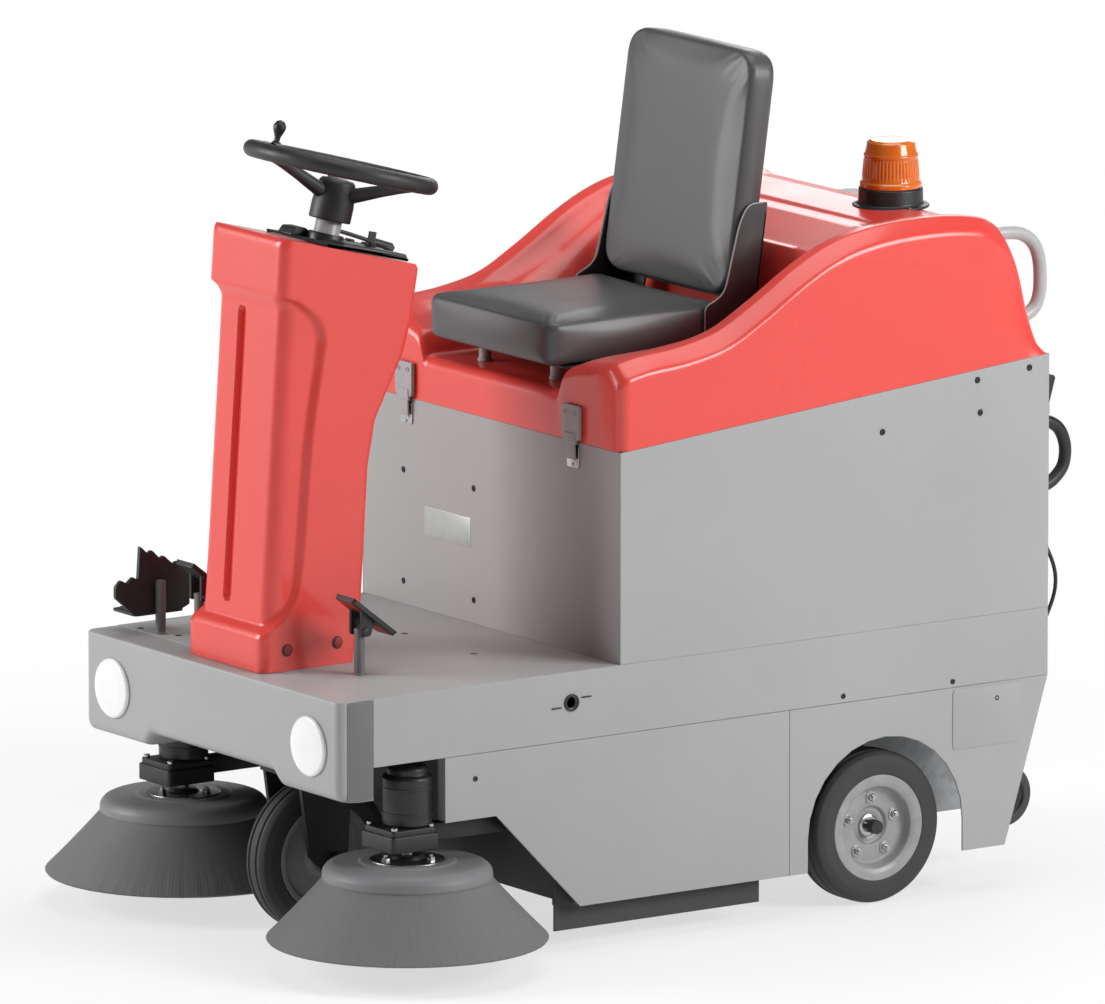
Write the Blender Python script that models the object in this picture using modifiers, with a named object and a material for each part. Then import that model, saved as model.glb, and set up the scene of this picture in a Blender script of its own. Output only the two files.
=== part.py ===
"""Ride-on sweeper: an electric three-wheeled floor sweeper with a tilting seat hood.

Metres, +Z up, floor at z = 0, front towards -Y.  Lengthwise sizes are distances
behind the bumper's front face, and at() turns such a distance into the frame's Y.
Each real piece is one named object; empties stand on the joint axes.
"""
import math

import bmesh
import bpy
from mathutils import Matrix, Vector

NAME = "ride_on_sweeper"
CLEAR = 0.0003            # gap between pieces that touch
RUN = 0.0005              # running gap of a shaft in its bore

# ---- driving sizes -----------------------------------------------------------
BRUSH_FRONT = 0.0605      # side brushes reach this far ahead of the bumper
OVERALL_LENGTH = 1.605    # side brushes to hood handles
HALF_WIDTH = 0.381        # centre plane to the outer face of the side panels
SHEET = 0.003             # steel sheet
DECK_TOP = 0.474
STRIP_BOTTOM = 0.358      # lower edge of the folded side strips
BODY_FRONT = 0.563        # front panel of the body
BODY_REAR = 1.442         # rear panel of the body
SEAM_FRONT = 0.831        # body height under the hood at the front
SEAM_REAR = 0.909         # and at the rear
SKIRT_BOTTOM = 0.075
SKIRT_SEAM = 0.908        # joint between front and rear skirts
BUMPER_DEPTH = 0.068
BUMPER_BOTTOM = 0.303
BUMPER_ROUND = 0.025

WHEEL_RADIUS = 0.130
WHEEL_WIDTH = 0.072
WHEEL_FACE = HALF_WIDTH - 0.019    # outer face of a rear wheel
WHEEL_PLATE = WHEEL_FACE - 0.100   # inner face of the plate that holds its stub axle
REAR_AXLE = 1.106
FRONT_AXLE = 0.212
FRONT_TYRE_WIDTH = 0.060
STEER_AXIS = 0.185        # vertical steering axis, ahead of the front axle
STEM_RADIUS = 0.018
AXLE_RADIUS = 0.012

BRUSH_X = HALF_WIDTH - 0.047
BRUSH_Y = 0.167
BRUSH_RADIUS = 0.2275
BRUSH_BOTTOM = 0.051
DISC_BOTTOM = 0.151
DISC_TOP = 0.184
DISC_RADIUS = 0.137
ARM_PIVOT = 0.402         # brush arm hinge, behind the brush
ARM_PIVOT_Z = 0.300
BROOM_Y = 0.660
BROOM_Z = 0.154
BROOM_RADIUS = 0.130
HOUSING_HALF = HALF_WIDTH - 0.033
HOUSING_FRONT = 0.450
HOUSING_REAR = 0.866
HOUSING_TOP = 0.330

COLUMN_HALF = 0.108
STEERING_TILT = math.radians(15.0)
STEERING_CENTRE = (0.263, 1.287)   # distance behind the bumper, height
RING_RADIUS = 0.1415
RING_TUBE = 0.0135
HUB_RADIUS = 0.036
HUB_DROP = 0.090          # ring plane to the hub's lower face

CUSHION_HALF = 0.183
CUSHION_FRONT = 0.556
CUSHION_REAR = 0.915
CUSHION_BOTTOM = 0.9446
CUSHION_TOP = 1.024
BACK_HALF = CUSHION_HALF + 0.001
BACK_FOOT = (0.908, 1.028)         # lower front edge of the back cushion
BACK_HEIGHT = 0.417
BACK_THICK = 0.062
BACK_TILT = math.radians(8.0)
PAN_TOP = CUSHION_BOTTOM - CLEAR
PAN_THICK = 0.005
WELL_FLOOR = 0.908
WELL_REAR = 1.030
HOOD_WALL = 0.005
HOOD_HINGE = (BODY_REAR + 0.0105, SEAM_REAR + 0.008)

BEACON_X = 0.100
BEACON_Y = 1.315
BEACON_FLOOR = 1.132      # level of the hood's rear plateau
HOPPER_HALF = HALF_WIDTH - 0.146
HOPPER_FRONT = 0.915
HOPPER_REAR = BODY_REAR - 0.042
HOPPER_BOTTOM = 0.110
HOPPER_TOP = 0.400
CASTER_RADIUS = 0.0535
CASTER_X = HOPPER_HALF - 0.003
CASTER_Y = BODY_REAR + 0.016
CASTER_PIN = 0.006
CASTER_Z = 0.123

FRAME_TOP = DECK_TOP - SHEET - CLEAR
FRAME_BOTTOM = FRAME_TOP - 0.040
INNER_HALF = HALF_WIDTH - SHEET - CLEAR   # what stands between the side panels
RAIL = 0.030
ARM_PIN = 0.006
PIN = 0.004               # pedal, hinge and handle pins

# x, distance and height of the pedal pivots
BRAKE = (0.200, 0.163, 0.548)
ACCELERATOR = (-0.150, 0.078, 0.560)
FLAP_PEDAL = (-0.290, 0.086, 0.560)
PEDAL_TILT = math.radians(-38.0)

# column seen from the side, (distance, z)
COLUMN_FRONT = [(0.030, DECK_TOP + CLEAR), (0.030, 0.540), (0.047, 0.562), (0.083, 1.080),
                (0.071, 1.100), (0.076, 1.188)]
COLUMN_CREST = (0.084, 1.197)
COLUMN_CREST_REAR = (0.341, 1.138)
COLUMN_BACK = [(0.349, 1.124), (0.328, 1.005), (0.312, 0.985), (0.254, 0.878),
               (0.237, 0.800), (0.223, 0.578), (0.211, DECK_TOP + CLEAR)]
COLUMN_TUBE = 0.022       # radius of the steel tube inside the column
COLUMN_STEP = 0.009       # depth of the recess down each flank
CONSOLE_HALF = 0.092
CONSOLE_NORMAL = Vector((0, COLUMN_CREST[1] - COLUMN_CREST_REAR[1],
                         COLUMN_CREST_REAR[0] - COLUMN_CREST[0])).normalized()
CONSOLE_RISE = 0.012      # console face above the crest
KEY = (0.055, 0.285)      # x and distance
KEY_RADIUS = 0.009
LEVER = (-0.0965, 0.290)
LEVER_RISE = 0.022        # lever pivot above the crest
STEERING_AXIS = (0.0, math.sin(STEERING_TILT), math.cos(STEERING_TILT))
KNOB_ANGLE = math.radians(198.0)

REAR_X = HALF_WIDTH - 0.036        # handle, lever and lead on the rear panel
REAR_PIVOT = (BODY_REAR + 0.0105, 0.808)
LATCH_X = HALF_WIDTH - 0.135
LAMP_X = HALF_WIDTH - 0.087
HANDLE_X = HALF_WIDTH - 0.151
HANDLE_TUBE = 0.0115

# upper edge of the hood's rails, (distance, z)
RAIL_TOP = [(BODY_FRONT, 0.966), (BODY_FRONT + 0.017, 0.983), (0.650, 0.991), (0.731, 1.001),
            (0.800, 1.025), (0.853, 1.050), (0.935, 1.097), (0.985, 1.123), (1.037, 1.142),
            (1.090, 1.153), (1.140, 1.158), (1.243, 1.158), (BODY_REAR - 0.112, 1.150),
            (BODY_REAR - 0.070, 1.125), (BODY_REAR - 0.050, 1.080), (BODY_REAR - 0.032, 1.010),
            (BODY_REAR - 0.0035, SEAM_REAR + 0.006)]
PLATEAU_HALF = HALF_WIDTH - 0.091
HINGE_INNER = 0.146       # hood lugs of the rear hinge, between these two x
HINGE_OUTER = 0.174

SIDES = (("left", 1), ("right", -1))      # the driver faces -Y, so left is +X


def at(distance):
    """The frame's Y of a point that lies this far behind the bumper's front face."""
    return distance - OVERALL_LENGTH / 2 + BRUSH_FRONT


def seam_height(distance):
    """Height of the seam between body and hood, a straight line that rises rearwards."""
    share = (distance - BODY_FRONT) / (BODY_REAR - BODY_FRONT)
    return SEAM_FRONT + share * (SEAM_REAR - SEAM_FRONT)


# ---- scene and materials -----------------------------------------------------
for old in list(bpy.data.objects):
    bpy.data.objects.remove(old, do_unlink=True)

PARTS = bpy.data.collections.new(NAME)
CUTTERS = bpy.data.collections.new("cutters")
bpy.context.scene.collection.children.link(PARTS)
bpy.context.scene.collection.children.link(CUTTERS)


def finish(name, colour, roughness, metallic=0.0):
    """A Principled material."""
    material = bpy.data.materials.new(name)
    material.use_nodes = True
    shader = material.node_tree.nodes["Principled BSDF"]
    shader.inputs["Base Color"].default_value = (*colour, 1.0)
    shader.inputs["Roughness"].default_value = roughness
    shader.inputs["Metallic"].default_value = metallic
    return material


GREY_PAINT = finish("grey_paint", (0.40, 0.40, 0.40), 0.45)
RED_PLASTIC = finish("red_plastic", (0.75, 0.06, 0.05), 0.3)
BLACK_STEEL = finish("black_steel", (0.02, 0.02, 0.02), 0.5)
BLACK_PLASTIC = finish("black_plastic", (0.03, 0.03, 0.03), 0.45)
RUBBER = finish("rubber", (0.03, 0.03, 0.03), 0.8)
VINYL = finish("vinyl", (0.04, 0.04, 0.04), 0.5)
BRISTLE = finish("bristle", (0.10, 0.10, 0.10), 0.8)
BRIGHT_STEEL = finish("bright_steel", (0.60, 0.60, 0.60), 0.3, 1.0)
AMBER = finish("amber", (0.80, 0.25, 0.03), 0.2)
WHITE_LENS = finish("white_lens", (0.85, 0.85, 0.85), 0.2)
GALVANISED = finish("galvanised", (0.45, 0.45, 0.45), 0.5, 0.6)


# ---- modelling helpers -------------------------------------------------------
def keep(obj, material):
    """Puts an object in the parts collection with its material."""
    for owner in list(obj.users_collection):
        owner.objects.unlink(obj)
    PARTS.objects.link(obj)
    obj.data.materials.clear()
    obj.data.materials.append(material)
    return obj


def as_tool(obj):
    """Puts an object in the cutters collection, out of the render."""
    for owner in list(obj.users_collection):
        owner.objects.unlink(obj)
    CUTTERS.objects.link(obj)
    obj.hide_render = True
    obj.display_type = 'WIRE'
    return obj


def apply_shape(obj, matrix):
    """Applies a matrix to the mesh, so that widths of modifiers stay true."""
    obj.data.transform(matrix)
    return obj


def box(name, low, high):
    """A box between two corners, each (x, distance, z), with its origin at its centre."""
    low = Vector((low[0], at(low[1]), low[2]))
    high = Vector((high[0], at(high[1]), high[2]))
    bpy.ops.mesh.primitive_cube_add(size=1.0, location=(low + high) / 2)
    obj = bpy.context.active_object
    obj.name = name
    size = high - low
    return apply_shape(obj, Matrix.Diagonal((size.x, size.y, size.z, 1.0)))


def rod(name, radius, start, end, sides=16):
    """A round bar from start to end, each (x, distance, z)."""
    start = Vector((start[0], at(start[1]), start[2]))
    end = Vector((end[0], at(end[1]), end[2]))
    axis = end - start
    bpy.ops.mesh.primitive_cylinder_add(vertices=sides, radius=radius, depth=axis.length)
    obj = bpy.context.active_object
    obj.name = name
    obj.location = (start + end) / 2
    obj.rotation_euler = axis.to_track_quat('Z', 'Y').to_euler()
    return smooth(obj)


def smooth(obj, angle=35.0):
    """Smooth shading with sharp edges above an angle."""
    obj.data.shade_smooth()
    obj.data.set_sharp_from_angle(angle=math.radians(angle))
    return obj


def mesh_from(obj):
    """Turns a curve into a mesh object with welded caps in the same place."""
    bpy.context.view_layer.update()
    evaluated = obj.evaluated_get(bpy.context.evaluated_depsgraph_get())
    mesh = bpy.data.meshes.new_from_object(evaluated)
    work = bmesh.new()
    work.from_mesh(mesh)
    bmesh.ops.remove_doubles(work, verts=work.verts, dist=0.00001)
    bmesh.ops.recalc_face_normals(work, faces=work.faces)
    work.to_mesh(mesh)
    work.free()
    name = obj.name
    result = bpy.data.objects.new(name, mesh)
    bpy.context.scene.collection.objects.link(result)
    result.matrix_world = obj.matrix_world
    bpy.data.objects.remove(obj, do_unlink=True)
    result.name = name
    return result


def plate(name, outlines, thick, turn, place):
    """A flat outline, with any holes, extruded to a plate and turned into place."""
    curve = bpy.data.curves.new(name, 'CURVE')
    curve.dimensions = '2D'
    curve.fill_mode = 'BOTH'
    curve.extrude = thick / 2
    for outline in outlines:
        spline = curve.splines.new('POLY')
        spline.points.add(len(outline) - 1)
        for point, (u, v) in zip(spline.points, outline):
            point.co = (u, v, 0.0, 1.0)
        spline.use_cyclic_u = True
    obj = bpy.data.objects.new(name, curve)
    bpy.context.scene.collection.objects.link(obj)
    obj.matrix_world = Matrix.Translation(place) @ turn
    return mesh_from(obj)


SIDE_VIEW = Matrix(((0, 0, 1, 0), (1, 0, 0, 0), (0, 1, 0, 0), (0, 0, 0, 1)))
FRONT_VIEW = Matrix(((1, 0, 0, 0), (0, 0, -1, 0), (0, 1, 0, 0), (0, 0, 0, 1)))
TOP_VIEW = Matrix.Identity(4)


def side_plate(name, outlines, x_inner, x_outer):
    """A plate seen from the side; its outlines are (distance, z) points."""
    moved = [[(at(d), z) for d, z in outline] for outline in outlines]
    place = Vector(((x_inner + x_outer) / 2, 0.0, 0.0))
    return plate(name, moved, abs(x_outer - x_inner), SIDE_VIEW, place)


def front_plate(name, outlines, front, rear):
    """A plate seen from the front; its outlines are (x, z) points."""
    place = Vector((0.0, at((front + rear) / 2), 0.0))
    return plate(name, outlines, rear - front, FRONT_VIEW, place)


def flat_plate(name, outlines, bottom, top):
    """A level plate; its outlines are (x, distance) points."""
    moved = [[(x, at(d)) for x, d in outline] for outline in outlines]
    return plate(name, moved, top - bottom, TOP_VIEW, Vector((0, 0, (bottom + top) / 2)))


def ring_of(centre, radius, count=12):
    """Points round a circle."""
    step = 2 * math.pi / count
    return [(centre[0] + radius * math.cos(i * step), centre[1] + radius * math.sin(i * step))
            for i in range(count)]


def arc(centre, radius, start, end, count):
    """Points along an arc, angles in degrees."""
    angles = [math.radians(start + (end - start) * i / count) for i in range(count + 1)]
    return [(centre[0] + radius * math.cos(a), centre[1] + radius * math.sin(a))
            for a in angles]


def rounded(points, radius, count=3):
    """A closed outline with every corner turned into an arc of the given radius."""
    result = []
    total = len(points)
    for index, (u, v) in enumerate(points):
        corner = Vector((u, v))
        before = (Vector(points[index - 1]) - corner).normalized()
        after = (Vector(points[(index + 1) % total]) - corner).normalized()
        half = before.angle(after) / 2
        reach = radius / math.tan(half)
        centre = corner + (before + after).normalized() * radius / math.sin(half)
        first = corner + before * reach - centre
        last = corner + after * reach - centre
        for step in range(count + 1):
            mixed = first.lerp(last, step / count).normalized() * radius
            result.append(tuple(centre + mixed))
    return result


def round_box(name, low, high, radius, segments=2):
    """A box with bevelled edges."""
    obj = box(name, low, high)
    bevel = obj.modifiers.new("edges", 'BEVEL')
    bevel.width = radius
    bevel.segments = segments
    bevel.limit_method = 'ANGLE'
    return obj


def turned(name, profile, place, axis, steps=24):
    """A turned shape: (radius, height) points from top to bottom round an axis.

    A profile that ends where it starts is a closed ring round a bore.
    """
    mesh = bpy.data.meshes.new(name)
    ring = profile[0] == profile[-1]
    points = [(radius, 0.0, height) for radius, height in profile[:len(profile) - ring]]
    edges = [(i, (i + 1) % len(points)) for i in range(len(profile) - 1)]
    mesh.from_pydata(points, edges, [])
    obj = bpy.data.objects.new(name, mesh)
    bpy.context.scene.collection.objects.link(obj)
    screw = obj.modifiers.new("turn", 'SCREW')
    screw.steps = steps
    screw.render_steps = steps
    screw.use_merge_vertices = True
    screw.merge_threshold = 0.00001
    obj.location = (place[0], at(place[1]), place[2])
    obj.rotation_euler = Vector(axis).to_track_quat('Z', 'Y').to_euler()
    return obj


def tube(name, points, radius, resolution=2):
    """A round tube through (x, distance, z) points, with closed ends."""
    curve = bpy.data.curves.new(name, 'CURVE')
    curve.dimensions = '3D'
    curve.bevel_depth = radius
    curve.bevel_resolution = resolution
    curve.use_fill_caps = True
    spline = curve.splines.new('POLY')
    spline.points.add(len(points) - 1)
    for point, (x, d, z) in zip(spline.points, points):
        point.co = (x, at(d), z, 1.0)
    obj = bpy.data.objects.new(name, curve)
    bpy.context.scene.collection.objects.link(obj)
    return mesh_from(obj)


def combine(obj, others, operation):
    """Adds a Boolean modifier for each other object."""
    for other in others:
        as_tool(other)
        step = obj.modifiers.new(other.name, 'BOOLEAN')
        step.operation = operation
        step.solver = 'EXACT'
        step.object = other
    return obj


def unite(obj, *others):
    """Joins the others to the object."""
    return combine(obj, others, 'UNION')


def cut(obj, *others):
    """Cuts the others out of the object."""
    return combine(obj, others, 'DIFFERENCE')


def pivot(name, x, distance, z):
    """An empty on a joint axis."""
    empty = bpy.data.objects.new(name, None)
    empty.location = (x, at(distance), z)
    empty.empty_display_size = 0.05
    PARTS.objects.link(empty)
    return empty


def hang_on(empty, *children):
    """Parents objects to an empty and leaves them where they are."""
    bpy.context.view_layer.update()
    for child in children:
        child.parent = empty
        child.matrix_parent_inverse = empty.matrix_world.inverted()


def bevel_edges(obj, chosen, width, segments):
    """Bevels the sharp mesh edges for which chosen(first, second) is true."""
    work = bmesh.new()
    work.from_mesh(obj.data)
    edges = [e for e in work.edges
             if e.calc_face_angle() > 0.5 and chosen(e.verts[0].co, e.verts[1].co)]
    bmesh.ops.bevel(work, geom=edges, offset=width, segments=segments,
                    affect='EDGES', profile=0.5, clamp_overlap=True)
    bmesh.ops.recalc_face_normals(work, faces=work.faces)
    work.to_mesh(obj.data)
    work.free()
    return obj


# ---- chassis -----------------------------------------------------------------
def chassis_frame():
    """Ladder frame under the deck with posts, wheel brackets and hopper runners."""
    rail_in = INNER_HALF - RAIL
    frame = box("chassis_frame", (-rail_in - 0.001, 0.150, FRAME_BOTTOM),
                (rail_in + 0.001, 0.220, FRAME_TOP))
    pieces = []
    for front, rear in ((ARM_PIVOT - 0.015, ARM_PIVOT + 0.015),
                        (HOUSING_FRONT, HOUSING_FRONT + 0.030),
                        (HOUSING_REAR - 0.030, HOUSING_REAR + 0.020),
                        (BODY_REAR - 0.042, BODY_REAR - SHEET - CLEAR)):
        pieces.append(box("cross", (-rail_in - 0.001, front, FRAME_BOTTOM),
                          (rail_in + 0.001, rear, FRAME_TOP)))
    for _, side in SIDES:
        low, high = sorted((side * rail_in, side * INNER_HALF))
        pieces.append(box("rail", (low, BUMPER_DEPTH + 0.004, FRAME_BOTTOM),
                          (high, BODY_REAR - SHEET - CLEAR, FRAME_TOP)))
        for front, bottom in ((0.290, 0.260), (0.885, 0.090), (1.290, 0.095)):
            pieces.append(box("post", (low, front, bottom),
                              (high, front + RAIL, FRAME_BOTTOM + 0.005)))
        plate_in, plate_out = WHEEL_PLATE, WHEEL_PLATE + 0.008
        low, high = sorted((side * plate_in, side * (rail_in + 0.002)))
        pieces.append(box("outrigger", (low, REAR_AXLE - 0.036, FRAME_TOP - 0.040),
                          (high, REAR_AXLE + 0.036, FRAME_TOP)))
        low, high = sorted((side * plate_in, side * plate_out))
        pieces.append(box("wheel_plate", (low, REAR_AXLE - 0.034, 0.095),
                          (high, REAR_AXLE + 0.034, FRAME_TOP - 0.020)))
        pieces.append(rod("stub", AXLE_RADIUS,
                          (side * (plate_in + 0.003), REAR_AXLE, WHEEL_RADIUS),
                          (side * (WHEEL_FACE - 0.004), REAR_AXLE, WHEEL_RADIUS), 12))
        runner_in = HOPPER_HALF + 0.004
        low, high = sorted((side * runner_in, side * (plate_in + 0.003)))
        pieces.append(box("runner", (low, HOPPER_FRONT, HOPPER_TOP - 0.028),
                          (high, HOPPER_REAR, HOPPER_TOP - SHEET - CLEAR)))
        low, high = sorted((side * plate_in, side * plate_out))
        for front, rear in ((HOPPER_REAR - 0.045, HOPPER_REAR + 0.020),
                            (HOUSING_REAR + 0.002, HOPPER_FRONT + 0.040)):
            pieces.append(box("hanger", (low, front, HOPPER_TOP - 0.028),
                              (high, rear, FRAME_BOTTOM + 0.005)))
        for ear in (BRUSH_X + 0.012, BRUSH_X - 0.020):
            low, high = sorted((side * ear, side * (ear + 0.008)))
            pieces.append(box("arm_ear", (low, ARM_PIVOT - 0.014, ARM_PIVOT_Z - 0.014),
                              (high, ARM_PIVOT + 0.014, FRAME_BOTTOM + 0.005)))
        pieces.append(rod("arm_pin", ARM_PIN,
                          (side * (BRUSH_X - 0.018), ARM_PIVOT, ARM_PIVOT_Z),
                          (side * (BRUSH_X + 0.018), ARM_PIVOT, ARM_PIVOT_Z), 10))
    unite(frame, *pieces)
    bore = rod("stem_bore", STEM_RADIUS + RUN, (0, STEER_AXIS, FRAME_BOTTOM - 0.02),
               (0, STEER_AXIS, FRAME_TOP + 0.02), 20)
    cut(frame, bore)
    return keep(frame, BLACK_STEEL)


def bumper_outline(inset):
    """Bumper seen from the front, with a shallow notch in its lower edge."""
    half = HALF_WIDTH - inset
    notch = BUMPER_BOTTOM + 0.021
    corner = 0.020 - inset
    left = arc((-half + corner, BUMPER_BOTTOM + corner), corner, 180, 270, 3)
    right = arc((half - corner, BUMPER_BOTTOM + corner), corner, 270, 360, 3)
    middle = [(-0.208, BUMPER_BOTTOM), (-0.176, notch), (0.176, notch), (0.208, BUMPER_BOTTOM)]
    return [(-half, DECK_TOP - inset)] + left + middle + right + [(half, DECK_TOP - inset)]


def front_bumper():
    """Folded front: face, round upper bend and two end caps, open behind and below."""
    bumper = front_plate("front_bumper", [bumper_outline(0.0)], 0.0, BUMPER_DEPTH)
    bevel_edges(bumper, lambda a, b: min(a.z, b.z) > BUMPER_DEPTH / 2 - 0.001
                and min(a.y, b.y) > DECK_TOP - 0.001, BUMPER_ROUND, 4)
    half = HALF_WIDTH - SHEET
    hollow = front_plate("bumper_hollow", [[(-half, 0.2), (half, 0.2),
                                            (half, DECK_TOP - SHEET), (-half, DECK_TOP - SHEET)]],
                         SHEET, BUMPER_DEPTH + 0.05)
    bevel_edges(hollow, lambda a, b: min(a.z, b.z) > 0.01 and min(a.y, b.y) > DECK_TOP - 0.01,
                BUMPER_ROUND - SHEET, 4)
    cut(bumper, hollow)
    return keep(smooth(bumper), GREY_PAINT)


def deck_plate():
    """Flat deck with the stem hole and fixing holes, and the pedal posts welded on it."""
    edge = INNER_HALF
    outline = [(-edge, BUMPER_DEPTH + CLEAR), (edge, BUMPER_DEPTH + CLEAR),
               (edge, BODY_REAR - SHEET - CLEAR), (-edge, BODY_REAR - SHEET - CLEAR)]
    holes = [ring_of((0.0, STEER_AXIS), 0.030, 20)]
    for x, distance in ((-0.335, 0.082), (-0.247, 0.100), (-0.045, 0.420), (0.162, 0.418)):
        holes.append(ring_of((x, distance), 0.006, 6))
    deck = flat_plate("deck_plate", [outline] + holes, DECK_TOP - SHEET, DECK_TOP)
    posts = []
    for pedal in (ACCELERATOR, BRAKE):
        x, distance, height = pedal
        posts.append(box("pedal_post", (x - 0.012, distance - 0.010, DECK_TOP - 0.001),
                         (x + 0.012, distance + 0.010, height + 0.008)))
        posts.append(rod("pedal_pin", PIN, (x - 0.024, distance, height),
                         (x + 0.024, distance, height), 8))
    x, distance, height = FLAP_PEDAL
    posts.append(box("flap_post", (x + 0.0045, distance - 0.012, DECK_TOP - 0.001),
                     (x + 0.0165, distance + 0.012, height + 0.010)))
    posts.append(rod("flap_pin", PIN, (x - 0.006, distance, height),
                     (x + 0.010, distance, height), 8))
    unite(deck, *posts)
    return keep(deck, GREY_PAINT)


def side_strips():
    """Folded strips along both sides of the deck."""
    for word, side in SIDES:
        inner, outer = side * (HALF_WIDTH - SHEET), side * HALF_WIDTH
        outline = [(BUMPER_DEPTH + CLEAR, STRIP_BOTTOM), (BODY_REAR, STRIP_BOTTOM),
                   (BODY_REAR, DECK_TOP), (BUMPER_DEPTH + CLEAR, DECK_TOP)]
        holes = [ring_of((0.464, 0.422), 0.010, 16), ring_of((1.018, 0.369), 0.004, 8),
                 ring_of((1.244, 0.368), 0.004, 8)]
        strip = side_plate("side_strip_" + word, [outline] + holes, inner, outer)
        keep(strip, GREY_PAINT)


def skirts():
    """Lower side panels: front ones with folded flanges, rear ones with wheel arches."""
    top = STRIP_BOTTOM - 0.0008
    for word, side in SIDES:
        inner, outer = side * (HALF_WIDTH - SHEET), side * HALF_WIDTH
        outline = [(0.211, 0.248), (0.313, 0.248), (0.482, SKIRT_BOTTOM),
                   (SKIRT_SEAM - 0.0005, SKIRT_BOTTOM), (SKIRT_SEAM - 0.0005, top), (0.211, top)]
        front = side_plate("front_skirt_" + word, [outline, ring_of((0.271, 0.316), 0.004, 8)],
                           inner, outer)
        low, high = sorted((side * (HALF_WIDTH - 0.024), side * (HALF_WIDTH - 0.001)))
        unite(front, box("skirt_lip", (low, 0.212, 0.250), (high, 0.215, top - 0.002)),
              box("skirt_foot", (low, 0.486, SKIRT_BOTTOM + 0.001),
                  (high, SKIRT_SEAM - 0.002, SKIRT_BOTTOM + 0.001 + SHEET)))
        keep(front, GREY_PAINT)
        arch = arc((REAR_AXLE, WHEEL_RADIUS), WHEEL_RADIUS + 0.030, 0, 180, 14)
        reach = WHEEL_RADIUS + 0.030
        outline = [(SKIRT_SEAM + 0.0005, SKIRT_BOTTOM), (SKIRT_SEAM + 0.0005, top),
                   (BODY_REAR, top), (BODY_REAR - 0.088, SKIRT_BOTTOM),
                   (REAR_AXLE + reach, SKIRT_BOTTOM)] + arch + [(REAR_AXLE - reach, SKIRT_BOTTOM)]
        keep(side_plate("rear_skirt_" + word, [outline], inner, outer), GREY_PAINT)


def body_panels():
    """Steel box round the battery: front, two sides and rear."""
    floor = DECK_TOP + CLEAR
    for word, side in SIDES:
        inner, outer = side * (HALF_WIDTH - SHEET), side * HALF_WIDTH
        outline = [(BODY_FRONT, floor), (BODY_REAR, floor),
                   (BODY_REAR, SEAM_REAR - CLEAR), (BODY_FRONT, SEAM_FRONT - CLEAR)]
        holes = [ring_of(point, 0.006, 8)
                 for point in ((1.401, 0.888), (1.293, 0.878), (1.299, 0.822), (1.097, 0.810))]
        keep(side_plate("body_side_" + word, [outline] + holes, inner, outer), GREY_PAINT)
    edge = INNER_HALF
    outline = [(-edge, floor), (edge, floor), (edge, SEAM_FRONT - CLEAR), (-edge, SEAM_FRONT - CLEAR)]
    holes = [ring_of((x, z), 0.006, 8) for x in (-0.258, -0.049) for z in (0.705, 0.514)]
    front = front_plate("body_front_panel", [outline] + holes, BODY_FRONT, BODY_FRONT + SHEET)
    keep(front, GREY_PAINT)
    top = seam_height(BODY_REAR - SHEET) - CLEAR
    outline = [(-edge, 0.405), (edge, 0.405), (edge, top), (-edge, top)]
    rear = front_plate("body_rear_panel", [outline], BODY_REAR - SHEET, BODY_REAR)
    ears = [rod("lever_pin", PIN, (REAR_X - 0.013, *REAR_PIVOT), (REAR_X + 0.013, *REAR_PIVOT), 8)]
    for side in (-1, 1):
        low, high = sorted((REAR_X + side * 0.0105, REAR_X + side * 0.0145))
        ears.append(box("lever_ear", (low, BODY_REAR - 0.001, REAR_PIVOT[1] - 0.008),
                        (high, REAR_PIVOT[0] + 0.007, REAR_PIVOT[1] + 0.008)))
    unite(rear, *ears)
    keep(rear, GREY_PAINT)


def headlamps():
    """Round lamps on the bumper's face."""
    profile = [(0.0, 0.0150), (0.047, 0.0120), (0.050, 0.0090), (0.050, 0.0050),
               (0.053, 0.0045), (0.053, 0.0), (0.0, 0.0)]
    for word, side in SIDES:
        place = (side * LAMP_X, -CLEAR, 0.388)
        lamp = turned("headlamp_" + word, profile, place, (0, -1, 0), 20)
        keep(smooth(lamp), WHITE_LENS)


# ---- steering column ---------------------------------------------------------
def crest_height(distance):
    """Height of the column's sloping upper edge."""
    share = (distance - COLUMN_CREST[0]) / (COLUMN_CREST_REAR[0] - COLUMN_CREST[0])
    return COLUMN_CREST[1] + share * (COLUMN_CREST_REAR[1] - COLUMN_CREST[1])


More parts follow.
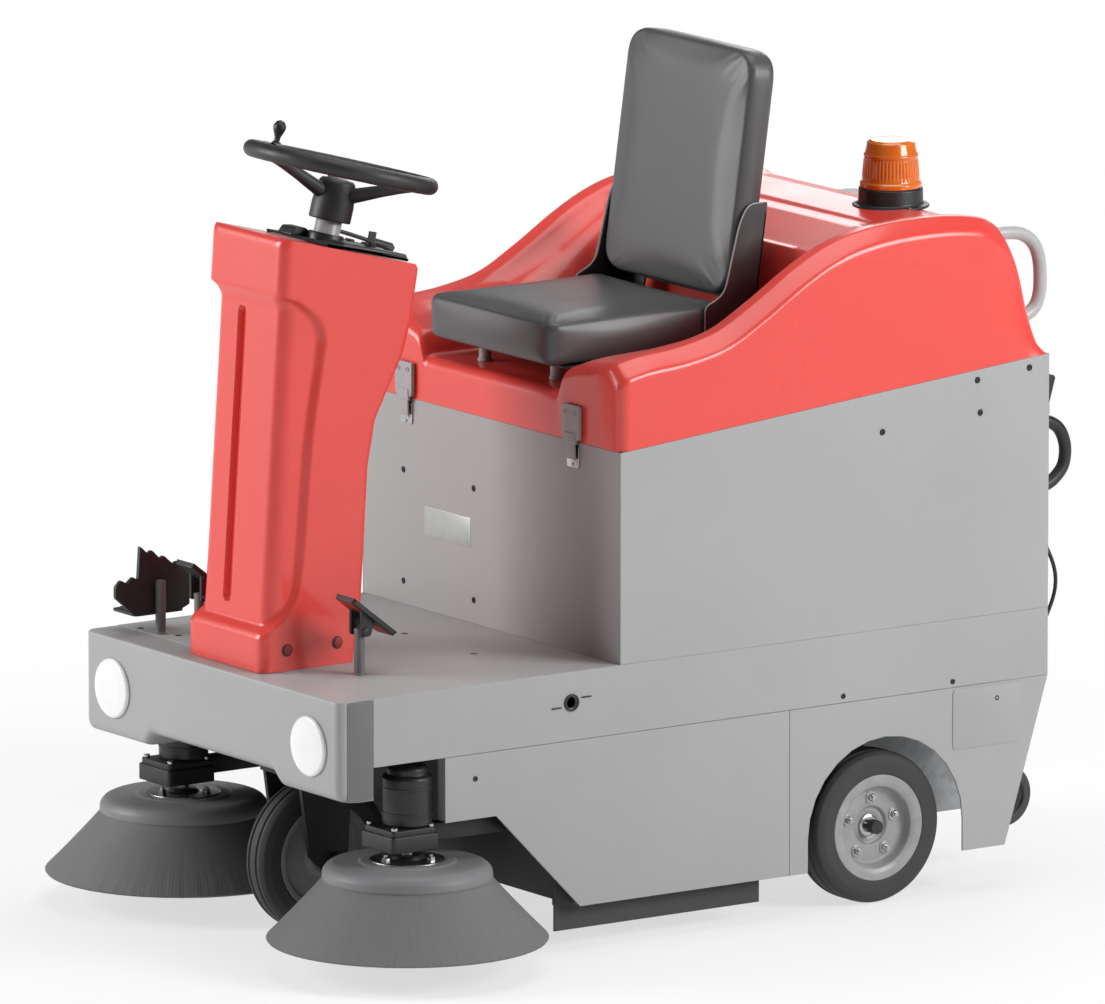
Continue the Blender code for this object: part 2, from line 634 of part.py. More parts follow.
def column_cover():
    """Moulded cover: side profile with a recessed front pillar, hollow and open below."""
    outline = COLUMN_FRONT + [COLUMN_CREST, COLUMN_CREST_REAR] + COLUMN_BACK
    cover = side_plate("column_cover", [outline], -COLUMN_HALF, COLUMN_HALF)
    bevel_edges(cover, lambda a, b: abs(a.z - b.z) < 0.001 and abs(a.z) > COLUMN_HALF - 0.001
                and max(a.x, b.x) < at(COLUMN_CREST[0]) + 0.001, 0.016, 3)
    step = [(-0.10, 0.562), (0.030, 0.560), (0.070, 0.580), (0.095, 0.605), (0.112, 0.660),
            (0.155, 1.020), (0.146, 1.060), (0.115, 1.085), (0.080, 1.096), (-0.10, 1.096)]
    for side in (1, -1):
        inner, outer = sorted((side * (COLUMN_HALF - COLUMN_STEP), side * (COLUMN_HALF + 0.05)))
        cut(cover, side_plate("pillar_step", [step], inner, outer))
    low, high = COLUMN_FRONT[2], COLUMN_FRONT[3]
    slope = (high[0] - low[0]) / (high[1] - low[1])
    groove = []
    for depth, height in ((-0.02, 0.590), (0.003, 0.590), (0.003, 1.070), (-0.02, 1.070)):
        groove.append((low[0] + slope * (height - low[1]) + depth, height))
    cut(cover, side_plate("front_groove", [groove], -0.030, -0.014))
    wall = 0.006
    inside = [(d + wall, z) for d, z in COLUMN_FRONT[1:5]] + [(0.081, 1.180), (0.336, 1.120)]
    inside += [(0.322, 1.010), (0.300, 0.985), (0.245, 0.878), (0.228, 0.800), (0.215, 0.578),
               (0.204, 0.45), (0.030 + wall, 0.45)]
    pillar = COLUMN_HALF - COLUMN_STEP - wall
    cut(cover, side_plate("column_hollow", [inside], -pillar, pillar))
    cut(cover, side_plate("console_hole", [[(0.135, 1.10), (0.325, 1.08), (0.325, 1.25),
                                            (0.135, 1.25)]],
                          0.012 - CONSOLE_HALF, CONSOLE_HALF - 0.012))
    return keep(smooth(cover), RED_PLASTIC)


def steering_point(down, rearward=0.0):
    """A point this far down the steering axis from the ring's centre."""
    distance = STEERING_CENTRE[0] - down * math.sin(STEERING_TILT)
    height = STEERING_CENTRE[1] - down * math.cos(STEERING_TILT)
    return (0.0, distance + rearward * math.cos(STEERING_TILT),
            height - rearward * math.sin(STEERING_TILT))


def column_post():
    """Steel foot on the deck and the leaning tube that carries the steering wheel."""
    post = rod("column_post", COLUMN_TUBE, steering_point(HUB_DROP + CLEAR), steering_point(0.690), 16)
    foot_point = steering_point(0.670)
    foot = box("post_foot", (-0.020, foot_point[1] - 0.022, DECK_TOP + CLEAR),
               (0.020, foot_point[1] + 0.022, foot_point[2] + 0.010))
    unite(post, foot)
    cut(post, rod("shaft_bore", AXLE_RADIUS + RUN, steering_point(HUB_DROP - 0.02),
                  steering_point(HUB_DROP + 0.08), 16))
    return keep(post, BRIGHT_STEEL)


def console_panel():
    """Instrument panel on the column's sloping crest."""
    def lifted(distance, lift):
        return (distance, crest_height(distance) + lift)
    outline = [lifted(0.120, CLEAR), lifted(0.122, 0.010), lifted(0.150, 0.024),
               lifted(0.190, 0.026), lifted(0.210, CONSOLE_RISE), lifted(0.336, CONSOLE_RISE),
               lifted(0.340, CLEAR)]
    console = side_plate("console_panel", [outline], -CONSOLE_HALF, CONSOLE_HALF)
    cut(console, rod("post_hole", COLUMN_TUBE + RUN, steering_point(0.05), steering_point(0.20), 20))
    seat = key_seat()
    cut(console, rod("key_hole", KEY_RADIUS + RUN, tuple(seat - CONSOLE_NORMAL * 0.007),
                     tuple(seat + CONSOLE_NORMAL * 0.02), 12))
    x, distance = LEVER
    height = crest_height(distance) + LEVER_RISE
    ear = x + 0.004 + CLEAR
    unite(console, box("lever_ear", (ear, distance - 0.010, height - 0.014),
                       (ear + 0.008, distance + 0.010, height + 0.008)))
    return keep(console, BLACK_PLASTIC)


def key_seat():
    """Middle of the key barrel on the console's face, as (x, distance, z)."""
    x, distance = KEY
    return Vector((x, distance, crest_height(distance) + CONSOLE_RISE))


def key_switch():
    """Lock barrel with its key, in a seat of the console."""
    base = key_seat() - CONSOLE_NORMAL * 0.0065
    profile = [(0.0, 0.0105), (KEY_RADIUS - 0.0005, 0.0105), (KEY_RADIUS, 0.0095),
               (KEY_RADIUS, 0.0), (0.0, 0.0)]
    barrel = turned("key_switch", profile, tuple(base), tuple(CONSOLE_NORMAL), 12)
    bow = box("key_bow", (-0.0015, 0.0, 0.0), (0.0015, 0.014, 0.018))
    turn = CONSOLE_NORMAL.to_track_quat('Z', 'Y').to_matrix().to_4x4()
    lift = Matrix.Translation((0, 0, 0.019))
    bow.matrix_world = Matrix.Translation((base.x, at(base.y), base.z)) @ turn @ lift
    unite(barrel, bow)
    hang_on(pivot("key_axis", *base), barrel)
    return keep(barrel, BRIGHT_STEEL)


def lift_lever():
    """Hand lever beside the console that raises and lowers the side brushes."""
    x, distance = LEVER
    height = crest_height(distance) + LEVER_RISE
    lever = rod("lift_lever", 0.008, (x - 0.004, distance, height), (x + 0.004, distance, height), 12)
    arm = tube("lever_arm", [(x, distance, height), (x, distance + 0.06, height - 0.006),
                             (x, distance + 0.125, height - 0.026)], 0.0035, 1)
    grip = rod("lever_grip", 0.008, (x, distance + 0.105, height - 0.0195),
               (x, distance + 0.150, height - 0.034), 10)
    unite(lever, arm, grip)
    hang_on(pivot("lift_lever_axis", x, distance, height), lever)
    return keep(lever, BLACK_PLASTIC)


def steering_wheel():
    """Ring, three spokes and hub, with the shaft that runs in the column tube."""
    bpy.ops.mesh.primitive_torus_add(major_segments=24, minor_segments=7,
                                     major_radius=RING_RADIUS, minor_radius=RING_TUBE)
    ring = bpy.context.active_object
    ring.name = "steering_wheel"
    centre = steering_point(0.0)
    ring.location = (0.0, at(centre[1]), centre[2])
    ring.rotation_euler = Vector(STEERING_AXIS).to_track_quat('Z', 'Y').to_euler()
    hub = rod("hub", HUB_RADIUS, steering_point(0.022), steering_point(HUB_DROP), 16)
    shaft = rod("shaft", AXLE_RADIUS, steering_point(0.060), steering_point(HUB_DROP + 0.072), 12)
    pieces = [hub, shaft]
    for degrees in (90, 210, 330):
        angle = math.radians(degrees)
        start = steering_point(0.045, math.sin(angle) * 0.02)
        end = steering_point(0.004, math.sin(angle) * RING_RADIUS)
        pieces.append(rod("spoke", 0.0085, (math.cos(angle) * 0.02, *start[1:]),
                          (math.cos(angle) * RING_RADIUS, *end[1:]), 8))
    unite(ring, *pieces)
    hang_on(pivot("steering_axis", 0.0, centre[1], centre[2]), ring)
    return keep(smooth(ring), BLACK_PLASTIC)


def spinner_knob():
    """Free-turning knob on the steering ring."""
    base = steering_point(-RING_TUBE - CLEAR, math.sin(KNOB_ANGLE) * RING_RADIUS)
    place = (math.cos(KNOB_ANGLE) * RING_RADIUS, base[1], base[2])
    profile = [(0.0, 0.038), (0.007, 0.036), (0.011, 0.030), (0.011, 0.024), (0.007, 0.014),
               (0.005, 0.010), (0.005, 0.003), (0.008, 0.002), (0.008, 0.0), (0.0, 0.0)]
    knob = turned("spinner_knob", profile, place, STEERING_AXIS, 12)
    hang_on(pivot("knob_axis", *place), knob)
    return keep(smooth(knob), BLACK_PLASTIC)


# ---- pedals ------------------------------------------------------------------
def plate_pedal(name, place, material):
    """Rocking foot plate on two lugs that straddle its post."""
    x, distance, height = place
    face = box(name, (-0.027, -0.062, 0.0), (0.027, 0.062, 0.009))
    face.matrix_world = Matrix.Translation((x, at(distance + 0.012), height + 0.026)) @ \
        Matrix.Rotation(PEDAL_TILT, 4, 'X')
    lugs = []
    for side in (-1, 1):
        low, high = sorted((x + side * (0.012 + RUN), x + side * 0.0185))
        lugs.append(side_plate("lug", [[(distance - 0.008, height - 0.008),
                                        (distance + 0.010, height - 0.008),
                                        (distance + 0.020, height + 0.018),
                                        (distance - 0.008, height + 0.040)]], low, high))
    unite(face, *lugs)
    cut(face, rod("pedal_bore", PIN + RUN, (x - 0.04, distance, height),
                  (x + 0.04, distance, height), 10))
    hang_on(pivot(name + "_axis", x, distance, height), face)
    return keep(face, material)


def flap_pedal():
    """Toothed side plate with a low tread that lifts the front flap."""
    x, distance, height = FLAP_PEDAL
    outline = [(0.050, 0.626), (0.150, 0.573), (0.150, 0.515), (0.128, 0.507), (0.040, 0.507),
               (0.000, 0.541), (0.000, 0.560), (0.020, 0.572), (0.046, 0.570)]
    side = side_plate("flap_pedal", [outline], x - 0.004, x + 0.004)
    tread = box("tread", (x - 0.070, 0.040, 0.505), (x + 0.002, 0.140, 0.510))
    unite(side, tread)
    cut(side, rod("flap_bore", PIN + RUN, (x - 0.02, distance, height),
                  (x + 0.02, distance, height), 10))
    hang_on(pivot("flap_pedal_axis", x, distance, height), side)
    return keep(side, BLACK_STEEL)


# ---- wheels ------------------------------------------------------------------
def wheel_profile(radius, half, bore, dish):
    """Tyre, rim and hub of a wheel from its outer face to its inner face."""
    rim = radius * 0.71
    return [(bore, half - dish + 0.010), (0.026, half - dish + 0.010), (0.030, half - dish),
            (rim * 0.80, half - dish), (rim, half - 0.002), (radius - 0.012, half),
            (radius, half - 0.012), (radius, -half + 0.012), (radius - 0.012, -half),
            (rim, -half), (0.030, -half + 0.020), (0.026, -half), (bore, -half),
            (bore, half - dish + 0.010)]


def rear_wheels():
    """Rear wheels on their stub axles."""
    half = WHEEL_WIDTH / 2
    for word, side in SIDES:
        place = (side * (WHEEL_FACE - half), REAR_AXLE, WHEEL_RADIUS)
        wheel = turned("rear_wheel_" + word,
                       wheel_profile(WHEEL_RADIUS, half, AXLE_RADIUS + RUN, 0.030),
                       place, (side, 0, 0), 24)
        hang_on(pivot("rear_axle_" + word, *place), wheel)
        keep(smooth(wheel), RUBBER)


def front_fork():
    """Steering fork: stem, crown and one plate on each side of the wheel."""
    crown_bottom = 2 * WHEEL_RADIUS + 0.012
    stem = rod("front_fork", STEM_RADIUS, (0, STEER_AXIS, crown_bottom + 0.010),
               (0, STEER_AXIS, 0.560), 16)
    crown = box("crown", (-0.062, STEER_AXIS - 0.045, crown_bottom),
                (0.062, STEER_AXIS + 0.060, crown_bottom + 0.030))
    collar = rod("collar", 0.040, (0, STEER_AXIS, crown_bottom + 0.020),
                 (0, STEER_AXIS, FRAME_BOTTOM - CLEAR), 16)
    pieces = [crown, collar]
    for side in (-1, 1):
        low, high = sorted((side * 0.048, side * 0.056))
        outline = [(STEER_AXIS - 0.045, crown_bottom + 0.010), (STEER_AXIS - 0.025, 0.140),
                   (FRONT_AXLE - 0.020, 0.108), (FRONT_AXLE + 0.020, 0.108),
                   (FRONT_AXLE + 0.026, 0.150), (STEER_AXIS + 0.060, crown_bottom + 0.010)]
        pieces.append(side_plate("fork_blade", [outline], low, high))
    pieces.append(rod("axle", AXLE_RADIUS, (-0.062, FRONT_AXLE, WHEEL_RADIUS),
                      (0.062, FRONT_AXLE, WHEEL_RADIUS), 16))
    unite(stem, *pieces)
    half = FRONT_TYRE_WIDTH / 2
    wheel = turned("front_wheel", wheel_profile(WHEEL_RADIUS, half, AXLE_RADIUS + RUN, 0.012),
                   (0, FRONT_AXLE, WHEEL_RADIUS), (1, 0, 0), 24)
    steer = pivot("steer_axis", 0, STEER_AXIS, 0.40)
    hang_on(steer, stem)
    hang_on(pivot("front_axle", 0, FRONT_AXLE, WHEEL_RADIUS), wheel)
    keep(stem, BLACK_STEEL)
    keep(smooth(wheel), RUBBER)


# ---- sweeping gear -----------------------------------------------------------
def side_brush_units():
    """On each side a hinged arm with its gear block, motor and disc brush."""
    block_bottom = 0.206
    block_top = 0.244
    for word, side in SIDES:
        x = side * BRUSH_X
        low, high = x - 0.048, x + 0.048
        arm = round_box("brush_arm_" + word, (low, BRUSH_Y - 0.062, block_bottom),
                        (high, BRUSH_Y + 0.034, block_top), 0.002, 1)
        bar = side_plate("arm_bar", [[(BRUSH_Y + 0.02, block_bottom + 0.006),
                                      (ARM_PIVOT - 0.030, block_bottom + 0.006),
                                      (ARM_PIVOT + 0.014, ARM_PIVOT_Z - 0.012),
                                      (ARM_PIVOT + 0.014, ARM_PIVOT_Z + 0.012),
                                      (ARM_PIVOT - 0.014, ARM_PIVOT_Z + 0.012),
                                      (ARM_PIVOT - 0.050, block_top - 0.002),
                                      (BRUSH_Y + 0.02, block_top - 0.002)]],
                         x - 0.0115, x + 0.0115)
        unite(arm, bar)
        cut(arm, rod("arm_bore", ARM_PIN + RUN, (x - 0.03, ARM_PIVOT, ARM_PIVOT_Z),
                     (x + 0.03, ARM_PIVOT, ARM_PIVOT_Z), 12))
        cut(arm, rod("spindle_bore", 0.010 + RUN, (x, BRUSH_Y, block_bottom - 0.02),
                     (x, BRUSH_Y, block_top - 0.012), 16))
        keep(arm, BLACK_STEEL)
        motor = turned("brush_motor_" + word,
                       [(0.0, 0.100), (0.034, 0.100), (0.034, 0.084), (0.042, 0.082),
                        (0.042, 0.0), (0.0, 0.0)],
                       (x, BRUSH_Y, block_top + CLEAR), (0, 0, 1), 16)
        keep(smooth(motor), BLACK_PLASTIC)
        mid = (BRUSH_RADIUS + DISC_RADIUS) / 2
        profile = [(0.0, block_top - 0.013), (0.010, block_top - 0.013), (0.010, DISC_TOP + 0.010),
                   (0.024, DISC_TOP + 0.010), (0.024, DISC_TOP + 0.003),
                   (0.063, DISC_TOP + 0.003), (0.063, DISC_TOP),
                   (DISC_RADIUS - 0.010, DISC_TOP), (DISC_RADIUS - 0.002, DISC_TOP - 0.008),
                   (DISC_RADIUS, DISC_TOP - 0.018), (DISC_RADIUS - 0.004, DISC_BOTTOM),
                   (mid, (DISC_BOTTOM + BRUSH_BOTTOM) / 2 + 0.002),
                   (BRUSH_RADIUS, BRUSH_BOTTOM + 0.004), (BRUSH_RADIUS - 0.003, BRUSH_BOTTOM),
                   (BRUSH_RADIUS - 0.080, BRUSH_BOTTOM + 0.012), (0.080, DISC_BOTTOM - 0.014),
                   (0.0, DISC_BOTTOM - 0.014)]
        brush = turned("side_brush_" + word, profile, (x, BRUSH_Y, 0.0), (0, 0, 1), 24)
        keep(smooth(brush), BRISTLE)
        hang_on(pivot("brush_lift_" + word, x, ARM_PIVOT, ARM_PIVOT_Z), arm, motor)
        hang_on(pivot("brush_spin_" + word, x, BRUSH_Y, 0.0), brush)


def broom_housing():
    """Tunnel over the main broom with bearing plates at both ends."""
    skin = SHEET
    front, rear, top = HOUSING_FRONT, HOUSING_REAR, HOUSING_TOP
    profile = [(front, 0.085), (front + skin, 0.085), (front + skin, top - 0.040 - skin),
               (front + 0.040 + skin, top - skin), (rear - 0.040 - skin, top - skin),
               (rear - skin, top - 0.040 - skin), (rear - skin, 0.200), (rear, 0.200),
               (rear, top - 0.040), (rear - 0.040, top), (front + 0.040, top),
               (front, top - 0.040)]
    housing = side_plate("broom_housing", [profile], -HOUSING_HALF, HOUSING_HALF)
    pieces = []
    end = [(front, 0.075), (rear, 0.075), (rear, top - 0.040), (rear - 0.040, top),
           (front + 0.040, top), (front, top - 0.040)]
    for side in (-1, 1):
        low, high = sorted((side * (HOUSING_HALF - SHEET), side * HOUSING_HALF))
        pieces.append(side_plate("end_plate", [end, ring_of((BROOM_Y, BROOM_Z),
                                                            AXLE_RADIUS + RUN, 16)], low, high))
    for distance in (front + 0.006, rear - 0.024):
        pieces.append(box("ear", (-0.20, distance, top - 0.060),
                          (0.20, distance + 0.010, FRAME_BOTTOM - CLEAR)))
    unite(housing, *pieces)
    cut(housing, box("ear_trim", (-0.25, front + skin, top - 0.080),
                     (0.25, rear - skin, top - 0.045)))
    return keep(housing, BLACK_STEEL)


def main_broom():
    """Roller broom with its shaft ends in the housing's end plates."""
    half = HOUSING_HALF - SHEET - 0.006
    stub = HOUSING_HALF
    profile = [(0.0, stub), (AXLE_RADIUS, stub), (AXLE_RADIUS, half), (BROOM_RADIUS, half),
               (BROOM_RADIUS, -half), (AXLE_RADIUS, -half), (AXLE_RADIUS, -stub), (0.0, -stub)]
    broom = turned("main_broom", profile, (0, BROOM_Y, BROOM_Z), (1, 0, 0), 24)
    hang_on(pivot("broom_axis", 0, BROOM_Y, BROOM_Z), broom)
    return keep(smooth(broom), BRISTLE)


def side_flaps():
    """Rubber dust flaps outside the housing's end plates."""
    for word, side in SIDES:
        low, high = sorted((side * (HOUSING_HALF + CLEAR), side * (HOUSING_HALF + 0.0045)))
        flap = box("side_flap_" + word, (low, HOUSING_FRONT, 0.031), (high, HOUSING_REAR, 0.150))
        keep(flap, RUBBER)


# ---- hopper ------------------------------------------------------------------
def dust_hopper():
    """Open dust tray with side flanges that slide on the runners, and its wheel arms."""
    half = HOPPER_HALF
    hopper = box("dust_hopper", (-half, HOPPER_FRONT, HOPPER_BOTTOM),
                 (half, HOPPER_REAR, HOPPER_TOP))
    pieces = []
    for side in (-1, 1):
        low, high = sorted((side * (half - 0.001), side * (half + 0.024)))
        pieces.append(box("flange", (low, HOPPER_FRONT + 0.001, HOPPER_TOP - SHEET),
                          (high, HOPPER_REAR - 0.050, HOPPER_TOP)))
        x = side * CASTER_X
        for near in (-1, 1):
            low, high = sorted((x + near * (0.016 + RUN), x + near * 0.021))
            pieces.append(side_plate("caster_arm", [[(HOPPER_REAR - 0.001, CASTER_Z + 0.075),
                                                     (HOPPER_REAR - 0.001, CASTER_Z - 0.010),
                                                     (CASTER_Y + 0.010, CASTER_Z - 0.010),
                                                     (CASTER_Y + 0.010, CASTER_Z + 0.012)]],
                                     low, high))
        pieces.append(rod("caster_pin", CASTER_PIN, (x - 0.020, CASTER_Y, CASTER_Z),
                          (x + 0.020, CASTER_Y, CASTER_Z), 10))
    pieces.append(box("hopper_grip", (-0.080, HOPPER_REAR - 0.001, 0.300),
                      (0.080, HOPPER_REAR + 0.022, 0.318)))
    unite(hopper, *pieces)
    wall = 0.003
    cut(hopper, box("hopper_inside", (-half + wall, HOPPER_FRONT + wall, HOPPER_BOTTOM + wall),
                    (half - wall, HOPPER_REAR - wall, HOPPER_TOP + 0.05)),
        box("hopper_mouth", (-half + wall, HOPPER_FRONT - 0.05, HOPPER_BOTTOM + 0.060),
            (half - wall, HOPPER_FRONT + 0.05, HOPPER_TOP + 0.05)))
    slide = pivot("hopper_slide", 0, HOPPER_REAR, HOPPER_TOP)
    hang_on(slide, hopper)
    keep(hopper, GALVANISED)
    bore = CASTER_PIN + RUN
    profile = [(bore, 0.015), (0.020, 0.015), (CASTER_RADIUS - 0.005, 0.013),
               (CASTER_RADIUS, 0.008), (CASTER_RADIUS, -0.008), (CASTER_RADIUS - 0.005, -0.013),
               (0.020, -0.015), (bore, -0.015), (bore, 0.015)]
    for word, side in SIDES:
        place = (side * CASTER_X, CASTER_Y, CASTER_Z)
        wheel = turned("hopper_caster_" + word, profile, place, (1, 0, 0), 16)
        hang_on(pivot("caster_axis_" + word, *place), wheel)
        keep(smooth(wheel), RUBBER)


# ---- inside the body ---------------------------------------------------------
def inner_units():
    """Battery block and dust fan, both standing on the deck."""
    battery = round_box("battery_pack", (-0.300, 0.600, DECK_TOP + CLEAR),
                        (0.300, 0.960, 0.740), 0.006, 1)
    keep(battery, BLACK_PLASTIC)
    fan = round_box("filter_fan", (-0.200, 1.040, DECK_TOP + CLEAR), (0.200, 1.360, 0.640), 0.006, 1)
    unite(fan, rod("fan_drum", 0.090, (0, 1.200, 0.630), (0, 1.200, 0.740), 20))
    keep(fan, GALVANISED)


# ---- rear fittings -----------------------------------------------------------
def rear_fittings():
    """Bow handle, lock lever and the held lead on the rear panel."""
    wall = BODY_REAR + CLEAR
    bow = [(REAR_X, wall, 0.784), (REAR_X, wall + 0.024, 0.784), (REAR_X, wall + 0.048, 0.768),
           (REAR_X, wall + 0.060, 0.738), (REAR_X, wall + 0.056, 0.706),
           (REAR_X, wall + 0.036, 0.684), (REAR_X, wall + 0.014, 0.674), (REAR_X, wall, 0.674)]
    keep(tube("rear_handle", bow, 0.011, 2), BLACK_PLASTIC)
    wire = [(REAR_X, wall, 0.600), (REAR_X, wall + 0.006, 0.600)]
    for step in range(1, 12):
        share = step / 12
        wire.append((REAR_X, wall + 0.010 + 0.032 * math.sin(math.pi * share) ** 1.2,
                     0.594 - 0.170 * share))
    wire += [(REAR_X, wall + 0.006, 0.418), (REAR_X, wall, 0.418)]
    keep(tube("rear_lead", wire, 0.0035, 2), BLACK_PLASTIC)
    distance, height = REAR_PIVOT
    outline = arc(REAR_PIVOT, 0.0075, 160, 360, 6) + [(distance + 0.024, height + 0.054),
                                                      (distance + 0.010, height + 0.058)]
    lever = side_plate("hopper_lever", [outline, ring_of(REAR_PIVOT, PIN + RUN, 12)],
                       REAR_X - 0.010, REAR_X + 0.010)
    hang_on(pivot("hopper_lever_axis", REAR_X, distance, height), lever)
    keep(lever, BLACK_STEEL)


# ---- hood and seat -----------------------------------------------------------
def hood_solid(name, inset, half):
    """The hood's outer form, shrunk by the inset."""
    low = 0.0004 if inset == 0.0 else -0.05
    front = BODY_FRONT + inset
    rear = BODY_REAR - inset
    rail = []
    for distance, z in RAIL_TOP:
        back = inset if distance > BODY_REAR - 0.12 else 0.0
        rail.append((min(max(distance, front), rear) - back, z - inset))
    outline = [(front, seam_height(front) + low)] + rail + [(rear, seam_height(rear) + low)]
    solid = side_plate(name, [outline], -half, half)
    crest = at(RAIL_TOP[1][0]) - 0.001
    bevel_edges(solid, lambda a, b: abs(a.z - b.z) < 0.001 and abs(a.z) > half - 0.001
                and min(a.y, b.y) > seam_height(BODY_REAR) + 0.02
                and min(a.x, b.x) > crest, 0.022 - inset, 2)
    return solid


def well_solid(name, outset):
    """Space of the seat well between the hood's rails, grown by the outset."""
    floor = WELL_FLOOR - outset
    low, high = 0.200 + outset, 0.262 + outset
    outline = [(-low, floor), (low, floor), (high, floor + 0.062), (high + 0.055, 1.30),
               (-high - 0.055, 1.30), (-high, floor + 0.062)]
    return front_plate(name, [outline], 0.50, WELL_REAR + outset)


def plateau_solid(name, outset):
    """Space above the hood's rear plateau, grown by the outset."""
    end = BODY_REAR + 0.02
    outline = [(WELL_REAR - 0.05, 1.104 - outset), (1.060, 1.110 - outset),
               (1.160, BEACON_FLOOR - outset), (end, BEACON_FLOOR - outset),
               (end, 1.30), (WELL_REAR - 0.05, 1.30)]
    return side_plate(name, [outline], -PLATEAU_HALF - outset, PLATEAU_HALF + outset)


def hood_shell():
    """Moulded hood: rails, seat well and rear plateau, hollow from below, with hinge lugs."""
    hood = hood_solid("hood_shell", 0.0, HALF_WIDTH)
    cut(hood, well_solid("seat_well", 0.0), plateau_solid("plateau_cut", 0.0))
    cavity = hood_solid("hood_cavity", HOOD_WALL, HALF_WIDTH - HOOD_WALL)
    cut(cavity, well_solid("well_keep", HOOD_WALL), plateau_solid("plateau_keep", HOOD_WALL + 0.001))
    cut(hood, cavity)
    distance, height = HOOD_HINGE
    for side in (-1, 1):
        low, high = sorted((side * HINGE_INNER, side * HINGE_OUTER))
        unite(hood, box("hinge_lug", (low, BODY_REAR - 0.004, height - 0.005),
                        (high, distance, height + 0.007)),
              rod("hinge_eye", 0.008, (low, distance, height), (high, distance, height), 10))
        cut(hood, rod("eye_bore", PIN + RUN, (low - 0.006, distance, height),
                      (high + 0.006, distance, height), 12))
    return keep(smooth(hood, 30), RED_PLASTIC)


def hood_hinge():
    """Fixed hinge leaf on the rear panel with its knuckles and pins."""
    wall = BODY_REAR + CLEAR
    distance, height = HOOD_HINGE
    leaf = box("hood_hinge", (-HINGE_OUTER - 0.041, wall, SEAM_REAR - 0.052),
               (HINGE_OUTER + 0.041, wall + SHEET, SEAM_REAR - 0.0025))
    pieces = []
    for side in (-1, 1):
        for near, far in ((HINGE_INNER - 0.026, HINGE_INNER - RUN),
                          (HINGE_OUTER + RUN, HINGE_OUTER + 0.026)):
            low, high = sorted((side * near, side * far))
            pieces.append(box("knuckle_foot", (low, wall, SEAM_REAR - 0.020),
                              (high, distance + 0.003, height - 0.003)))
            pieces.append(rod("knuckle", 0.008, (low, distance, height), (high, distance, height), 8))
        pieces.append(rod("pin", PIN, (side * (HINGE_INNER - 0.020), distance, height),
                          (side * (HINGE_OUTER + 0.020), distance, height), 8))
    unite(leaf, *pieces)
    return keep(leaf, BRIGHT_STEEL)


def hood_handles():
    """Bent tube grips on the rear slope of the hood."""
    made = []
    loop = [(-0.072, 1.086), (-0.012, 1.090), (0.028, 1.090), (0.055, 1.084), (0.077, 1.066),
            (0.088, 1.040), (0.091, 1.005), (0.088, 0.975), (0.077, 0.955), (0.056, 0.944),
            (0.028, 0.941), (-0.042, 0.941)]
    for word, side in SIDES:
        points = [(side * HANDLE_X, BODY_REAR + offset, z) for offset, z in loop]
        handle = tube("hood_handle_" + word, points, HANDLE_TUBE, 2)
        trim = hood_solid("handle_trim", 0.0, HANDLE_X + 0.07)
        trim.location.y = CLEAR
        cut(handle, trim)
        made.append(keep(smooth(handle), GALVANISED))
    return made


def back_frame():
    """Matrix of the seat back: X across, Y to the rear, Z up along the cushion."""
    place = Matrix.Translation((0.0, at(BACK_FOOT[0]), BACK_FOOT[1]))
    return place @ Matrix.Rotation(-BACK_TILT, 4, 'X')


def leaning_box(name, low, high):
    """A box in the seat back's own axes."""
    bpy.ops.mesh.primitive_cube_add(size=1.0)
    obj = bpy.context.active_object
    obj.name = name
    low, high = Vector(low), Vector(high)
    size = high - low
    apply_shape(obj, Matrix.Diagonal((size.x, size.y, size.z, 1.0)))
    obj.matrix_world = back_frame() @ Matrix.Translation((low + high) / 2)
    return obj


def seat():
    """Bent seat pan with side wings and feet, the seat cushion and the back cushion."""
    half = CUSHION_HALF + 0.0075
    pan = box("seat_bracket", (-half, 0.590, PAN_TOP - PAN_THICK), (half, 0.990, PAN_TOP))
    back = leaning_box("back_pan", (-half, BACK_THICK + CLEAR, -0.079),
                       (half, BACK_THICK + CLEAR + 0.004, 0.150))
    pieces = [back]
    wing = [(0.876, PAN_TOP - PAN_THICK), (0.876, 1.020), (0.897, 1.036), (0.915, 1.066),
            (0.940, 1.150), (0.950, 1.172), (0.966, 1.184), (0.9965, 1.184),
            (0.9625, PAN_TOP - PAN_THICK)]
    for side in (-1, 1):
        low, high = sorted((side * (CUSHION_HALF + 0.003), side * half))
        pieces.append(side_plate("wing", [wing], low, high))
        for distance in (0.625, 0.880):
            x = side * (CUSHION_HALF - 0.078)
            pieces.append(rod("foot", 0.012, (x, distance, WELL_FLOOR + CLEAR),
                              (x, distance, PAN_TOP - 0.002), 12))
    unite(pan, *pieces)
    window = BACK_HALF - 0.054
    cut(pan, leaning_box("back_window", (-window, 0.03, -0.050), (window, 0.12, -0.008)))
    keep(pan, BLACK_STEEL)
    cushion = round_box("seat_cushion", (-CUSHION_HALF, CUSHION_FRONT, CUSHION_BOTTOM),
                        (CUSHION_HALF, CUSHION_REAR, CUSHION_TOP), 0.020, 3)
    keep(smooth(cushion), VINYL)
    back_pad = leaning_box("back_cushion", (-BACK_HALF, 0.0, 0.0),
                           (BACK_HALF, BACK_THICK, BACK_HEIGHT))
    bevel = back_pad.modifiers.new("edges", 'BEVEL')
    bevel.width = 0.022
    bevel.segments = 3
    keep(smooth(back_pad), VINYL)
    return [pan, cushion, back_pad]


